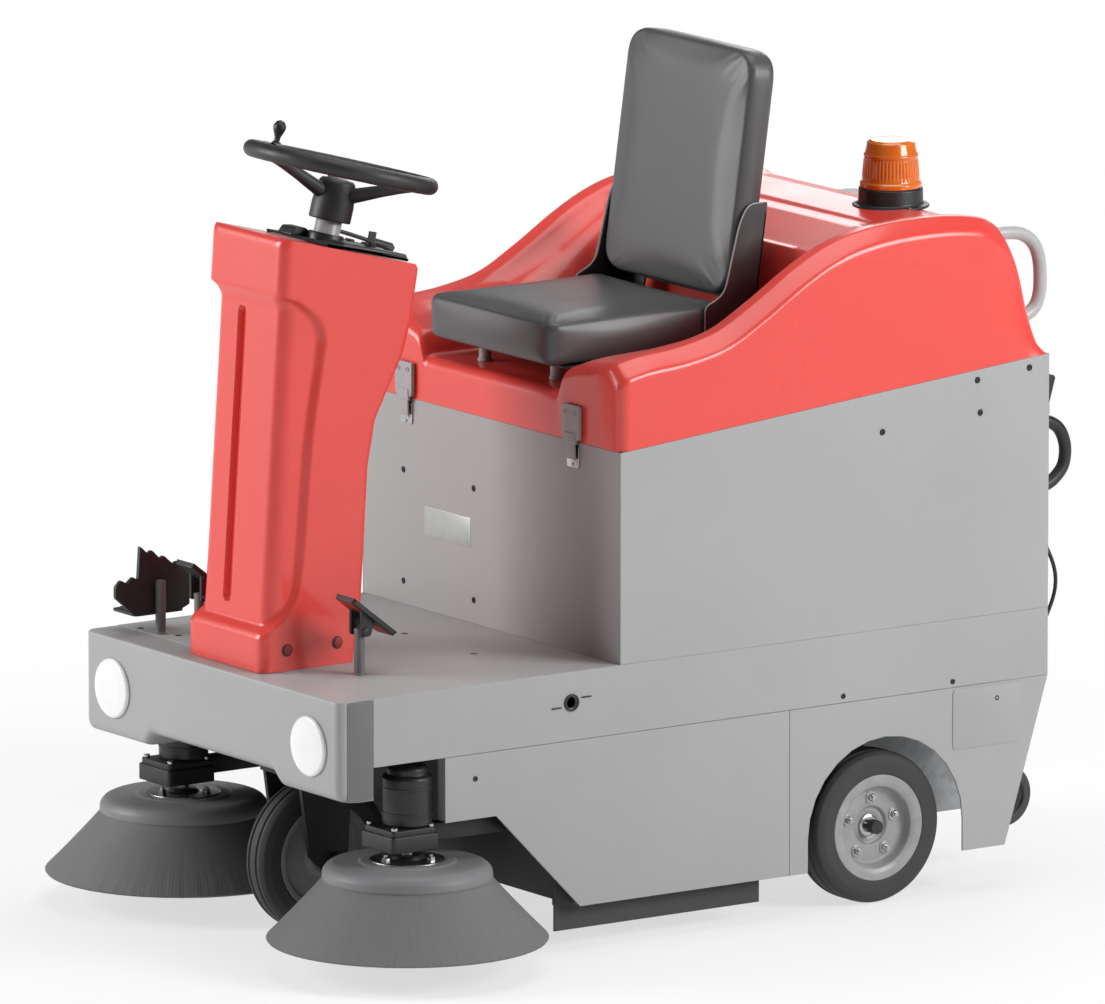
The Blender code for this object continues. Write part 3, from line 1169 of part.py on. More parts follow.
def beacon():
    """Amber flashing lamp on its black foot."""
    base_z = BEACON_FLOOR + CLEAR
    base = turned("beacon_base", [(0.0, 0.034), (0.054, 0.034), (0.055, 0.006), (0.066, 0.005),
                                  (0.066, 0.0), (0.0, 0.0)], (BEACON_X, BEACON_Y, base_z), (0, 0, 1), 20)
    lens_z = base_z + 0.034 + CLEAR
    lens = turned("beacon_lens", [(0.0, 0.081), (0.040, 0.079), (0.045, 0.052), (0.049, 0.012),
                                  (0.053, 0.008), (0.053, 0.0), (0.0, 0.0)],
                  (BEACON_X, BEACON_Y, lens_z), (0, 0, 1), 20)
    return [keep(smooth(base), BLACK_PLASTIC), keep(smooth(lens), AMBER)]


def latches():
    """Toggle latches: a lever on the hood's front band over a catch on the body."""
    levers = []
    face = BODY_FRONT - CLEAR
    for word, side in SIDES:
        x = side * LATCH_X
        catch = box("latch_catch_" + word, (x - 0.018, face - 0.004, SEAM_FRONT - 0.045),
                    (x + 0.018, face, SEAM_FRONT - 0.006))
        keep(catch, BRIGHT_STEEL)
        lever = box("latch_lever_" + word, (x - 0.022, face - 0.010, SEAM_FRONT + 0.004),
                    (x + 0.022, face - 0.001, SEAM_FRONT + 0.062))
        hook = box("latch_hook", (x - 0.015, face - 0.0085, SEAM_FRONT - 0.030),
                   (x + 0.015, face - 0.0045, SEAM_FRONT + 0.010))
        unite(lever, hook)
        hang_on(pivot("latch_axis_" + word, x, face - 0.007, SEAM_FRONT + 0.058), lever)
        levers.append(keep(lever, BRIGHT_STEEL))
    return levers


def build():
    """Builds every piece and hangs the hood's pieces on its hinge."""
    chassis_frame()
    front_bumper()
    deck_plate()
    side_strips()
    skirts()
    body_panels()
    headlamps()
    column_cover()
    column_post()
    console_panel()
    key_switch()
    lift_lever()
    steering_wheel()
    spinner_knob()
    plate_pedal("accelerator_pedal", ACCELERATOR, BLACK_PLASTIC)
    plate_pedal("brake_pedal", BRAKE, BLACK_PLASTIC)
    flap_pedal()
    rear_wheels()
    front_fork()
    side_brush_units()
    broom_housing()
    main_broom()
    side_flaps()
    dust_hopper()
    inner_units()
    rear_fittings()
    hood_hinge()
    tilting = [hood_shell()] + hood_handles() + seat() + beacon()
    hang_on(pivot("hood_axis", 0, *HOOD_HINGE), *tilting)
    latches()


build()
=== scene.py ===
"""Looks of a ride-on floor sweeper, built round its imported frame.

Every sub-assembly is a class: its sizes are dataclass fields and its build
method makes the surfaces, dresses them and seats them on the frame's bodies.
Lengthwise sizes are distances behind the bumper's front face, in metres;
at() turns such a distance into the frame's Y.
"""
from __future__ import annotations

import logging
import math
from dataclasses import dataclass
from enum import Enum
from typing import Optional, Sequence, Union

import bmesh
import bpy
import numpy as np
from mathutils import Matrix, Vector

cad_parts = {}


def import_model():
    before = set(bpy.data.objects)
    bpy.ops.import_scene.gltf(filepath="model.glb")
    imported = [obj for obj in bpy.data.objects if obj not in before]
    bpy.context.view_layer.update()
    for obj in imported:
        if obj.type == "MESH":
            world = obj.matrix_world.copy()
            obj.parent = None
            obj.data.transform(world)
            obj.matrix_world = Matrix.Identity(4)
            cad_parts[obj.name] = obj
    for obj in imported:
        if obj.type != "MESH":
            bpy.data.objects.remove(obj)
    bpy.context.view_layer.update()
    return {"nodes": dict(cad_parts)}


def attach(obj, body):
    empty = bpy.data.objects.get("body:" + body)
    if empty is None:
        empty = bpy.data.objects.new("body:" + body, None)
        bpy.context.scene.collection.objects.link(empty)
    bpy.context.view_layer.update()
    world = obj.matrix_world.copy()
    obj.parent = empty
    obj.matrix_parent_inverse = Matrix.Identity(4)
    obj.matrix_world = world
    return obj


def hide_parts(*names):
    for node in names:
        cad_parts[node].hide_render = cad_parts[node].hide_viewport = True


LOG = logging.getLogger("sweeper")

BUMPER_FACE = 0.742        # the bumper's front face lies this far ahead of the origin
SIDES = (("left", 1.0), ("right", -1.0))
FRAME: dict = {}
UP = (0, 0, 1)
LEFT = (1, 0, 0)           # towards the machine's left
AHEAD = (0, -1, 0)
BEHIND = (0, 1, 0)

Amount = Union[float, np.ndarray]          # one number or an array of them
Points = Union[np.ndarray, Sequence]       # points as rows
Triple = Sequence[float]                   # a place or a direction


class Grain(Enum):
    """How a surface's fine relief is laid out."""

    ORANGE_PEEL = "noise"
    PEBBLE = "cells"
    BRUSHED = "streaks"
    STRANDS = "strands"
    SPANGLE = "spangle"


# ---- small tools ---------------------------------------------------------------
def at(distance: Amount) -> Amount:
    """Frame Y of a distance behind the bumper's front face.

    Args:
        distance: one distance or an array of them.

    Returns:
        The same shape, as frame Y.
    """
    return distance - BUMPER_FACE


def smoothstep(low: float, high: float, value: Amount) -> Amount:
    """Smooth ramp from 0 at low to 1 at high."""
    share = np.clip((np.asarray(value, float) - low) / (high - low), 0.0, 1.0)
    return share * share * (3.0 - 2.0 * share)


def linear(hex_colour: str) -> tuple[float, float, float, float]:
    """Turns an sRGB hex colour into a linear colour.

    Args:
        hex_colour: a colour such as "#a0a0a0".

    Returns:
        Linear red, green, blue and an alpha of 1.
    """
    values = [int(hex_colour[i:i + 2], 16) / 255.0 for i in (1, 3, 5)]
    red, green, blue = (v / 12.92 if v <= 0.04045 else ((v + 0.055) / 1.055) ** 2.4
                        for v in values)
    return red, green, blue, 1.0


def fillet(points: Points, reach: Amount, steps: int = 5, runs: Union[int, Sequence[int]] = 1,
           closed: bool = False) -> np.ndarray:
    """Rounds the corners of polylines with parabolic arcs.

    Args:
        points: [..., K, D] corner points.
        reach: how far an arc starts from its corner, one number or [..., K].
        steps: segments in each arc.
        runs: points put into each straight run, one number or one per run.
        closed: whether the last point joins the first.

    Returns:
        [..., M, D] points; M is the same for every polyline.
    """
    points = np.asarray(points, float)
    reach = np.broadcast_to(reach, points.shape[:-1])
    count = points.shape[-2]
    blend = np.linspace(0.0, 1.0, steps + 1)[:, None]
    arcs = [] if closed else [points[..., :1, :]]
    for index in range(count) if closed else range(1, count - 1):
        corner = points[..., index, :]
        before = points[..., index - 1, :] - corner
        after = points[..., (index + 1) % count, :] - corner
        length_before = np.linalg.norm(before, axis=-1, keepdims=True) + 1e-9
        length_after = np.linalg.norm(after, axis=-1, keepdims=True) + 1e-9
        cut = np.minimum(np.minimum(reach[..., index, None], 0.48 * length_before),
                         0.48 * length_after)
        start = (corner + before / length_before * cut)[..., None, :]
        end = (corner + after / length_after * cut)[..., None, :]
        arcs.append((1 - blend) ** 2 * start + 2 * blend * (1 - blend) * corner[..., None, :]
                    + blend ** 2 * end)
    if not closed:
        arcs.append(points[..., -1:, :])
    runs = np.broadcast_to(runs, (len(arcs),))
    pieces = []
    for index, arc in enumerate(arcs):
        pieces.append(arc)
        if runs[index] and (closed or index + 1 < len(arcs)):
            share = (np.arange(1, runs[index] + 1) / (runs[index] + 1))[:, None]
            following = arcs[(index + 1) % len(arcs)][..., :1, :]
            pieces.append(arc[..., -1:, :] * (1 - share) + following * share)
    return np.concatenate(pieces, axis=-2)


def even(path: Points, count: int, closed: bool = False) -> np.ndarray:
    """Lays points along a polyline at even spacing.

    Args:
        path: [N, D] points.
        count: how many points come back.
        closed: whether the path closes on itself.

    Returns:
        [count, D] points.
    """
    path = np.asarray(path, float)
    if closed:
        path = np.vstack([path, path[:1]])
    along = np.concatenate([[0.0], np.cumsum(np.linalg.norm(np.diff(path, axis=0), axis=1))])
    wanted = np.linspace(0.0, along[-1], count + closed)[:count]
    return np.stack([np.interp(wanted, along, path[:, i]) for i in range(path.shape[1])], 1)


def spline(points: Points, count: int) -> np.ndarray:
    """Catmull-Rom curve through points, laid out evenly.

    Args:
        points: [N, D] points on the curve.
        count: how many points come back.

    Returns:
        [count, D] points.
    """
    points = np.asarray(points, float)
    ends = np.vstack([2 * points[0] - points[1], points, 2 * points[-1] - points[-2]])
    share = np.linspace(0.0, 1.0, 17)[:-1][None, :, None]
    a, b, c, d = (ends[i:len(ends) - 3 + i, None, :] for i in range(4))
    curve = 0.5 * (2 * b + (c - a) * share + (2 * a - 5 * b + 4 * c - d) * share ** 2
                   + (3 * b - a - 3 * c + d) * share ** 3)
    return even(np.vstack([curve.reshape(-1, points.shape[1]), points[-1:]]), count)


def frame_of(axis: Triple) -> np.ndarray:
    """Rows are two directions across an axis and the axis itself."""
    axis = np.asarray(axis, float) / np.linalg.norm(axis)
    helper = np.array([1.0, 0.0, 0.0]) if abs(axis[0]) < 0.9 else np.array([0.0, 1.0, 0.0])
    across = np.cross(axis, helper)
    across /= np.linalg.norm(across)
    return np.stack([across, np.cross(axis, across), axis])


def surface(name: str, grid: np.ndarray, wrap_rows: bool = False, wrap: bool = False,
            caps: bool = False, sharp: float = 35.0) -> bpy.types.Object:
    """A mesh of quads over a grid of points, shaded smooth, faces out.

    Args:
        name: the object's name.
        grid: [rows, columns, 3] points.
        wrap_rows: whether the last row joins the first.
        wrap: whether the last column joins the first.
        caps: whether the first and last rows are closed with a face.
        sharp: edges above this angle in degrees stay sharp.

    Returns:
        The object, at the origin, with a UV map: U along columns, V along rows.
    """
    rows, columns = grid.shape[:2]
    index = np.arange(rows * columns).reshape(rows, columns)
    if wrap_rows:
        index = np.vstack([index, index[:1]])
    if wrap:
        index = np.hstack([index, index[:, :1]])
    quads = np.stack([index[:-1, :-1], index[1:, :-1], index[1:, 1:], index[:-1, 1:]], -1)
    faces = quads.reshape(-1, 4).tolist()
    if caps:
        faces += [index[0, :columns].tolist(), index[-1, :columns][::-1].tolist()]
    mesh = bpy.data.meshes.new(name)
    mesh.from_pydata(grid.reshape(-1, 3).tolist(), [], faces)
    corner = np.zeros(len(mesh.loops), np.int32)
    mesh.loops.foreach_get("vertex_index", corner)
    coordinates = np.stack([corner % columns / columns, corner // columns / rows], 1)
    mesh.uv_layers.new(name="flow").data.foreach_set("uv", coordinates.astype(np.float32).ravel())
    piece = bpy.data.objects.new(name, mesh)
    bpy.context.scene.collection.objects.link(piece)
    return tidy(piece, sharp)


def tidy(piece: bpy.types.Object, sharp: float = 35.0) -> bpy.types.Object:
    """Merges doubles, turns the faces out and sets smooth shading with sharp edges."""
    work = bmesh.new()
    work.from_mesh(piece.data)
    bmesh.ops.remove_doubles(work, verts=work.verts, dist=1e-6)
    bmesh.ops.dissolve_degenerate(work, edges=work.edges, dist=1e-7)
    bmesh.ops.recalc_face_normals(work, faces=work.faces)
    middle = sum((v.co for v in work.verts), Vector()) / len(work.verts)
    outward = sum(f.normal.dot(f.calc_center_median() - middle) * f.calc_area()
                  for f in work.faces)
    if outward < 0:
        bmesh.ops.reverse_faces(work, faces=work.faces)
    work.to_mesh(piece.data)
    work.free()
    piece.data.shade_smooth()
    piece.data.set_sharp_from_angle(angle=math.radians(sharp))
    return piece


def join(name: str, pieces: Sequence[bpy.types.Object], sharp: float = 35.0) -> bpy.types.Object:
    """Joins several meshes that are one real piece into one object."""
    work = bmesh.new()
    for piece in pieces:
        work.from_mesh(piece.data)
        bpy.data.objects.remove(piece, do_unlink=True)
    mesh = bpy.data.meshes.new(name)
    work.to_mesh(mesh)
    work.free()
    piece = bpy.data.objects.new(name, mesh)
    bpy.context.scene.collection.objects.link(piece)
    mesh.shade_smooth()
    mesh.set_sharp_from_angle(angle=math.radians(sharp))
    return piece


def lathe(name: str, profile: Points, centre: Triple, axis: Triple, segments: int = 64,
          reach: float = 0.0) -> bpy.types.Object:
    """A turned piece: a (radius, height) profile swept round an axis.

    Args:
        name: the object's name.
        profile: radius and height of each corner along the section.
        centre: the point of the axis at height 0.
        axis: the axis direction.
        segments: steps round the axis.
        reach: rounding of the profile's corners.

    Returns:
        The closed piece.
    """
    section = np.asarray(profile, float)
    ring = np.allclose(section[0], section[-1])
    if ring:
        section = section[:-1]
    if reach:
        section = fillet(section, reach, 4, 0, ring)
    angle = np.arange(segments) * 2 * math.pi / segments
    basis = frame_of(axis)
    grid = (section[:, :1, None] * (np.cos(angle)[None, :, None] * basis[0]
                                    + np.sin(angle)[None, :, None] * basis[1])
            + section[:, 1][:, None, None] * basis[2] + np.asarray(centre, float))
    return surface(name, grid, wrap_rows=ring, wrap=True, sharp=32.0)


def tube(name: str, path: Points, radius: Amount, across: Triple, sides: int = 20,
         count: int = 0) -> bpy.types.Object:
    """A round bar along a path that lies in one plane.

    Args:
        name: the object's name.
        path: [N, 3] points.
        radius: one radius, or one for each point.
        across: the direction square to the path's plane.
        sides: steps round the bar.
        count: if given, the path is smoothed to this many points first.

    Returns:
        The bar with closed ends.
    """
    path = spline(path, count) if count else np.asarray(path, float)
    radius = np.broadcast_to(radius, (len(path),))
    along = np.gradient(path, axis=0)
    along /= np.linalg.norm(along, axis=1, keepdims=True)
    across = np.asarray(across, float)
    up = np.cross(along, across)
    up /= np.linalg.norm(up, axis=1, keepdims=True)
    side = np.cross(along, up)
    angle = np.arange(sides) * 2 * math.pi / sides
    grid = path[:, None, :] + radius[:, None, None] * (
        np.cos(angle)[None, :, None] * up[:, None, :] + np.sin(angle)[None, :, None] * side[:, None, :])
    return surface(name, grid, wrap=True, caps=True, sharp=50.0)


def slab(name: str, outline: Points, low: float, high: float, plane: str = "side",
         edge: float = 0.0008, steps: int = 3) -> bpy.types.Object:
    """A plate: an outline carried through its thickness with rounded rims.

    Args:
        name: the object's name.
        outline: closed outline; (distance, z) for "side", (x, z) for "front", (x, distance) for "top".
        low: where the plate starts along the third direction.
        high: where it ends.
        plane: "side", "front" or "top".
        edge: radius of the rims.
        steps: segments in each rim.

    Returns:
        The closed plate.
    """
    outline = np.asarray(outline, float)
    before = outline - np.roll(outline, 1, axis=0)
    after = np.roll(outline, -1, axis=0) - outline
    before /= np.linalg.norm(before, axis=1, keepdims=True) + 1e-12
    after /= np.linalg.norm(after, axis=1, keepdims=True) + 1e-12
    mean = before + after
    mean /= np.linalg.norm(mean, axis=1, keepdims=True) + 1e-12
    turn = np.cross(outline - outline.mean(0), after).sum()
    inward = np.stack([-mean[:, 1], mean[:, 0]], 1) * (1.0 if turn > 0 else -1.0)
    low, high = min(low, high), max(low, high)
    phase = np.linspace(0.0, math.pi / 2, steps + 1)
    depth = np.concatenate([low + edge * (1 - np.cos(phase)), high - edge * (1 - np.cos(phase[::-1]))])
    inset = edge * np.concatenate([1 - np.sin(phase), 1 - np.sin(phase[::-1])])
    flat = outline[None] + inset[:, None, None] * inward[None]
    third = np.broadcast_to(depth[:, None], flat.shape[:2])
    first, second = flat[..., 0], flat[..., 1]
    if plane == "side":
        grid = np.stack([third, at(first), second], -1)
    elif plane == "front":
        grid = np.stack([first, at(third), second], -1)
    else:
        grid = np.stack([first, at(second), third], -1)
    return surface(name, grid, wrap=True, caps=True, sharp=40.0)


def rounded(points: Points, radius: float, steps: int = 5, runs: int = 0) -> np.ndarray:
    """A closed outline with rounded corners."""
    return fillet(points, radius, steps, runs, True)


def oblong(left: float, low: float, right: float, high: float) -> list[tuple[float, float]]:
    """Corners of a rectangle between two opposite corners."""
    return [(left, low), (right, low), (right, high), (left, high)]


def plug(radius: float, low: float, high: float, crown: float = 0.0) -> list[tuple[float, float]]:
    """Profile of a round piece between two heights, its top raised in the middle."""
    return [(0.0, low), (radius, low), (radius, high), (0.0, high + crown)]


def ring_profile(upper: Sequence[tuple[float, float]]) -> list[tuple[float, float]]:
    """Closed profile of a ring: the upper half, then the same mirrored below."""
    lower = [(radius, -height) for radius, height in reversed(upper)]
    return [*upper, *lower, upper[0]]


def box_piece(name: str, low: Triple, high: Triple, edge: float = 0.002, corner: float = 0.004,
              plane: str = "top") -> bpy.types.Object:
    """A block between two corners (x, distance, z) with rounded corners and rims."""
    first, second, third = {"top": (0, 1, 2), "side": (1, 2, 0), "front": (0, 2, 1)}[plane]
    corners = oblong(low[first], low[second], high[first], high[second])
    return slab(name, rounded(corners, corner, 4), low[third], high[third], plane, edge)


# ---- finishes --------------------------------------------------------------------
def add_node(tree: bpy.types.NodeTree, kind: str, settings: Optional[dict] = None,
             links: Optional[dict] = None) -> bpy.types.Node:
    """Adds a node with its settings and links.

    Args:
        tree: the material's node tree.
        kind: the node's type name.
        settings: values by attribute name, or by input socket name or index.
        links: output sockets by input socket name or index.

    Returns:
        The node.
    """
    node = tree.nodes.new(kind)
    for key, value in (settings or {}).items():
        if isinstance(key, str) and hasattr(node, key):
            setattr(node, key, value)
        else:
            node.inputs[key].default_value = value
    for key, socket in (links or {}).items():
        tree.links.new(socket, node.inputs[key])
    return node


@dataclass(frozen=True)
class Finish:
    """A real material and how its surface was made.

    Attributes:
        slot: name of a material slot; not used.
        colour: sRGB hex of the main tone.
        second: sRGB hex that the main tone drifts to.
        drift: size of the tone's drift in millimetres.
        roughness: mean roughness.
        wander: how far the roughness wanders.
        metallic: 0 or 1.
        coat: clear top layer.
        grain: layout of the fine relief.
        grain_mm: spacing of the relief in millimetres.
        depth_mm: height of the relief in millimetres.
        ior: index of refraction.
        rim_mm: radius to which the shader softens hard edges.
        transmission: how much light passes.
    """

    name: str
    slot: str
    colour: str
    second: str
    drift: float = 180.0
    roughness: float = 0.5
    wander: float = 0.06
    metallic: float = 0.0
    coat: float = 0.0
    grain: Grain = Grain.ORANGE_PEEL
    grain_mm: float = 4.0
    depth_mm: float = 0.02
    ior: float = 1.5
    rim_mm: float = 0.0
    transmission: float = 0.0

    def material(self) -> bpy.types.Material:
        """Builds the node material, once."""
        if self.name in bpy.data.materials:
            return bpy.data.materials[self.name]
        material = bpy.data.materials.new(self.name)
        material.use_nodes = True
        tree = material.node_tree
        shader = tree.nodes["Principled BSDF"]
        place = add_node(tree, "ShaderNodeTexCoord")
        drift = add_node(tree, "ShaderNodeTexNoise",
                         {"Scale": 1000.0 / self.drift, "Detail": 3.0, "Roughness": 0.55},
                         {"Vector": place.outputs["Object"]})
        ramp = add_node(tree, "ShaderNodeMapRange", {"From Min": 0.3, "From Max": 0.7},
                        {"Value": drift.outputs["Fac"]})
        relief, tone = self.relief(tree, place)
        mixed = add_node(tree, "ShaderNodeMix", {"data_type": 'RGBA', 6: linear(self.colour),
                                                 7: linear(self.second)},
                         {0: tone if tone is not None else ramp.outputs["Result"]})
        tree.links.new(mixed.outputs[2], shader.inputs["Base Color"])
        gloss = add_node(tree, "ShaderNodeMapRange",
                         {"To Min": max(self.roughness - self.wander, 0.02),
                          "To Max": min(self.roughness + self.wander, 1.0)},
                         {"Value": ramp.outputs["Result"]})
        tree.links.new(gloss.outputs["Result"], shader.inputs["Roughness"])
        bump = add_node(tree, "ShaderNodeBump",
                        {"Strength": 1.0, "Distance": self.depth_mm / 1000.0}, {"Height": relief})
        if self.rim_mm:
            rim = add_node(tree, "ShaderNodeBevel", {"samples": 4, "Radius": self.rim_mm / 1000.0})
            tree.links.new(rim.outputs["Normal"], bump.inputs["Normal"])
        tree.links.new(bump.outputs["Normal"], shader.inputs["Normal"])
        shader.inputs["Metallic"].default_value = self.metallic
        if not self.metallic:
            shader.inputs["IOR"].default_value = self.ior
        shader.inputs["Coat Weight"].default_value = self.coat
        shader.inputs["Coat Roughness"].default_value = 0.08
        shader.inputs["Transmission Weight"].default_value = self.transmission
        return material

    def relief(self, tree: bpy.types.NodeTree, place: bpy.types.Node
               ) -> tuple[bpy.types.NodeSocket, Optional[bpy.types.NodeSocket]]:
        """Nodes of the fine relief.

        Args:
            tree: the material's node tree.
            place: the texture coordinate node.

        Returns:
            The height socket, and a socket for the tone or None.
        """
        scale = 1000.0 / self.grain_mm
        if self.grain is Grain.PEBBLE:
            cells = add_node(tree, "ShaderNodeTexVoronoi",
                             {"feature": 'SMOOTH_F1', "Scale": scale, "Smoothness": 0.35},
                             {"Vector": place.outputs["Object"]})
            return cells.outputs["Distance"], None
        if self.grain is Grain.SPANGLE:
            cells = add_node(tree, "ShaderNodeTexVoronoi", {"Scale": scale},
                             {"Vector": place.outputs["Object"]})
            grey = add_node(tree, "ShaderNodeRGBToBW", None, {"Color": cells.outputs["Color"]})
            return cells.outputs["Distance"], grey.outputs["Val"]
        if self.grain is Grain.BRUSHED:
            stretch = add_node(tree, "ShaderNodeMapping", {"Scale": (scale, scale, scale / 24.0)},
                               {"Vector": place.outputs["Object"]})
            streak = add_node(tree, "ShaderNodeTexNoise", {"Scale": 1.0, "Detail": 4.0},
                              {"Vector": stretch.outputs["Vector"]})
            return streak.outputs["Fac"], None
        if self.grain is Grain.STRANDS:
            # grain_mm is read here as strands round the whole brush
            stretch = add_node(tree, "ShaderNodeMapping", {"Scale": (self.grain_mm, 3.0, 1.0)},
                               {"Vector": place.outputs["UV"]})
            strand = add_node(tree, "ShaderNodeTexNoise",
                              {"Scale": 1.0, "Detail": 2.0, "Roughness": 0.7},
                              {"Vector": stretch.outputs["Vector"]})
            sharpen = add_node(tree, "ShaderNodeMapRange", {"From Min": 0.35, "From Max": 0.65},
                               {"Value": strand.outputs["Fac"]})
            return strand.outputs["Fac"], sharpen.outputs["Result"]
        peel = add_node(tree, "ShaderNodeTexNoise", {"Scale": scale, "Detail": 2.0},
                        {"Vector": place.outputs["Object"]})
        return peel.outputs["Fac"], None


# Powder-coated sheet steel: even satin grey with a faint orange peel and soft rims.
GREY_COAT = Finish("powder_coated_steel_grey", "grey_paint", "#a6a6a6", "#a0a0a0", 420.0, 0.42,
                   0.05, grain_mm=5.0, depth_mm=0.012, rim_mm=1.6)
# The same coat, darker, as painted shade: a shaded copy for the bumper's folded ends and the pedal posts.
SHADED_COAT = Finish("powder_coated_steel_painted_shade", "grey_paint", "#6e6e6e", "#696969", 420.0, 0.45,
                   0.05, grain_mm=5.0, depth_mm=0.012, rim_mm=1.0)
# Rotation-moulded polyethylene: strong red, glossy, with long soft waves.
RED_MOULDED = Finish("rotomoulded_polyethylene_red", "red_plastic", "#e64a42", "#e1443c", 260.0,
                     0.30, 0.05, coat=0.25, grain_mm=16.0, depth_mm=0.03)
# Black paint on welded steel: low sheen, slightly uneven.
BLACK_PAINT = Finish("painted_steel_black", "black_steel", "#1c1c1d", "#262627", 60.0, 0.48, 0.1,
                     grain_mm=3.0, depth_mm=0.02, rim_mm=1.0)
# Injection-moulded polypropylene: black with a fine spark-eroded texture.
BLACK_MOULDED = Finish("polypropylene_textured_black", "black_plastic", "#1d1d1f", "#242426", 40.0,
                       0.42, 0.06, grain=Grain.PEBBLE, grain_mm=1.2, depth_mm=0.02)
# Polyurethane foam rim: near black, soft low gloss.
RING_FOAM = Finish("polyurethane_foam_black", "black_plastic", "#222224", "#2a2a2c", 50.0, 0.5,
                   0.05, grain=Grain.PEBBLE, grain_mm=1.6, depth_mm=0.03)
# Coated vinyl: fine leather-like grain, drawn at 2.4 mm so that it shows.
SEAT_VINYL = Finish("calendered_vinyl_black", "vinyl", "#474748", "#4c4c4d", 120.0, 0.42, 0.04,
                    coat=0.06, grain=Grain.PEBBLE, grain_mm=2.4, depth_mm=0.04)
# Solid rubber tyre: matt, slightly dusty tread.
TYRE_RUBBER = Finish("solid_tyre_rubber", "tyre", "#323233", "#3d3d3e", 70.0, 0.72, 0.08,
                     grain_mm=1.5, depth_mm=0.05)
# Moulded rubber: side flaps, caster tyres and the accelerator's insert.
STRIP_RUBBER = Finish("moulded_rubber_grey", "rubber", "#3a3a3b", "#444445", 90.0, 0.7, 0.08,
                      grain_mm=2.0, depth_mm=0.05)
# Nylon bristles: dark grey strands that run outwards, drawn coarser than real ones.
NYLON_BRISTLE = Finish("nylon_bristle_grey", "bristle", "#6a6a6b", "#707071", 120.0, 0.66, 0.04,
                       grain=Grain.STRANDS, grain_mm=520.0, depth_mm=0.06)
# Moulded disc of the side brush.
DISC_PLASTIC = Finish("polypropylene_disc_grey", "bristle", "#7e7e7f", "#78787a", 90.0, 0.5, 0.06,
                      grain_mm=3.0, depth_mm=0.03)
# Zinc-plated steel: bright, faintly brushed.
ZINC_STEEL = Finish("zinc_plated_steel", "bright_steel", "#b9b9ba", "#a6a6a8", 40.0, 0.3, 0.08,
                    metallic=1.0, grain=Grain.BRUSHED, grain_mm=0.8, depth_mm=0.01, rim_mm=0.6)
# Zinc-plated pressings: duller, even grey.
DULL_ZINC = Finish("zinc_plated_pressing", "bright_steel", "#a2a2a1", "#959594", 40.0, 0.45, 0.06,
                   coat=0.1, grain_mm=2.0, depth_mm=0.01, rim_mm=0.4)
# Hot-dip galvanised sheet: large soft crystals.
GALVANISED = Finish("galvanised_sheet", "galvanised", "#8f9193", "#a3a5a7", 80.0, 0.48, 0.08,
                    metallic=1.0, grain=Grain.SPANGLE, grain_mm=14.0, depth_mm=0.02)
# Powder-coated tube of the hood's grips.
TUBE_COAT = Finish("powder_coated_tube_grey", "galvanised", "#b3b4b5", "#a9aaab", 60.0, 0.35, 0.05,
                   grain_mm=4.0, depth_mm=0.01)
# Silver-painted wheel disc.
RIM_PAINT = Finish("silver_painted_wheel", "bright_steel", "#9e9e9d", "#909090", 30.0, 0.42, 0.08,
                   coat=0.1, grain_mm=3.0, depth_mm=0.02)
# Amber polycarbonate with moulded flutes.
AMBER_LENS = Finish("amber_polycarbonate", "amber", "#f08018", "#e06a10", 50.0, 0.18, 0.03,
                    coat=0.4, grain_mm=6.0, depth_mm=0.02, ior=1.58, transmission=0.15)
# Opal polycarbonate lamp.
OPAL_LENS = Finish("opal_polycarbonate", "white_lens", "#f2f2f1", "#ececeb", 60.0, 0.25, 0.03,
                   coat=0.3, grain_mm=6.0, depth_mm=0.01, ior=1.58)
# Dark red rubber: the brake pedal's insert; the same dark red on the caps in the plinth is painted shade
# of their recesses.
RED_INSERT_AND_RECESS_SHADE = Finish("red_rubber_insert_and_recess_shade", "red_plastic", "#9c2a26", "#8a2420", 30.0, 0.5, 0.05,
                    grain_mm=1.5, depth_mm=0.05)
# Bare aluminium plate.
BARE_PLATE = Finish("bare_aluminium_plate", "bright_steel", "#b4b4b3", "#a8a8a7", 40.0, 0.38, 0.05,
                    metallic=1.0, grain=Grain.BRUSHED, grain_mm=0.8, depth_mm=0.01)


def dress(piece: bpy.types.Object, finish: Finish, body: str, *nodes: str) -> bpy.types.Object:
    """Gives a piece its finish, seats it on a body and hides the nodes that it stands for.

    Args:
        piece: the finished mesh, in place.
        finish: its material.
        body: the frame's body that carries it.
        nodes: CAD nodes that it replaces.

    Returns:
        The piece.
    """
    piece.data.materials.clear()
    piece.data.materials.append(finish.material())
    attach(piece, body)
    if nodes:
        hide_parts(*nodes)
    LOG.info("%s on %s", piece.name, body)
    return piece


def repaint(finish: Finish, *nodes: str) -> None:
    """Gives nodes of the frame a procedural finish."""
    for node in nodes:
        piece = FRAME["nodes"][node]
        piece.data.materials.clear()
        piece.data.materials.append(finish.material())


def both(stem: str) -> tuple[str, str]:
    """Names of a left and a right node."""
    return stem + "_left", stem + "_right"


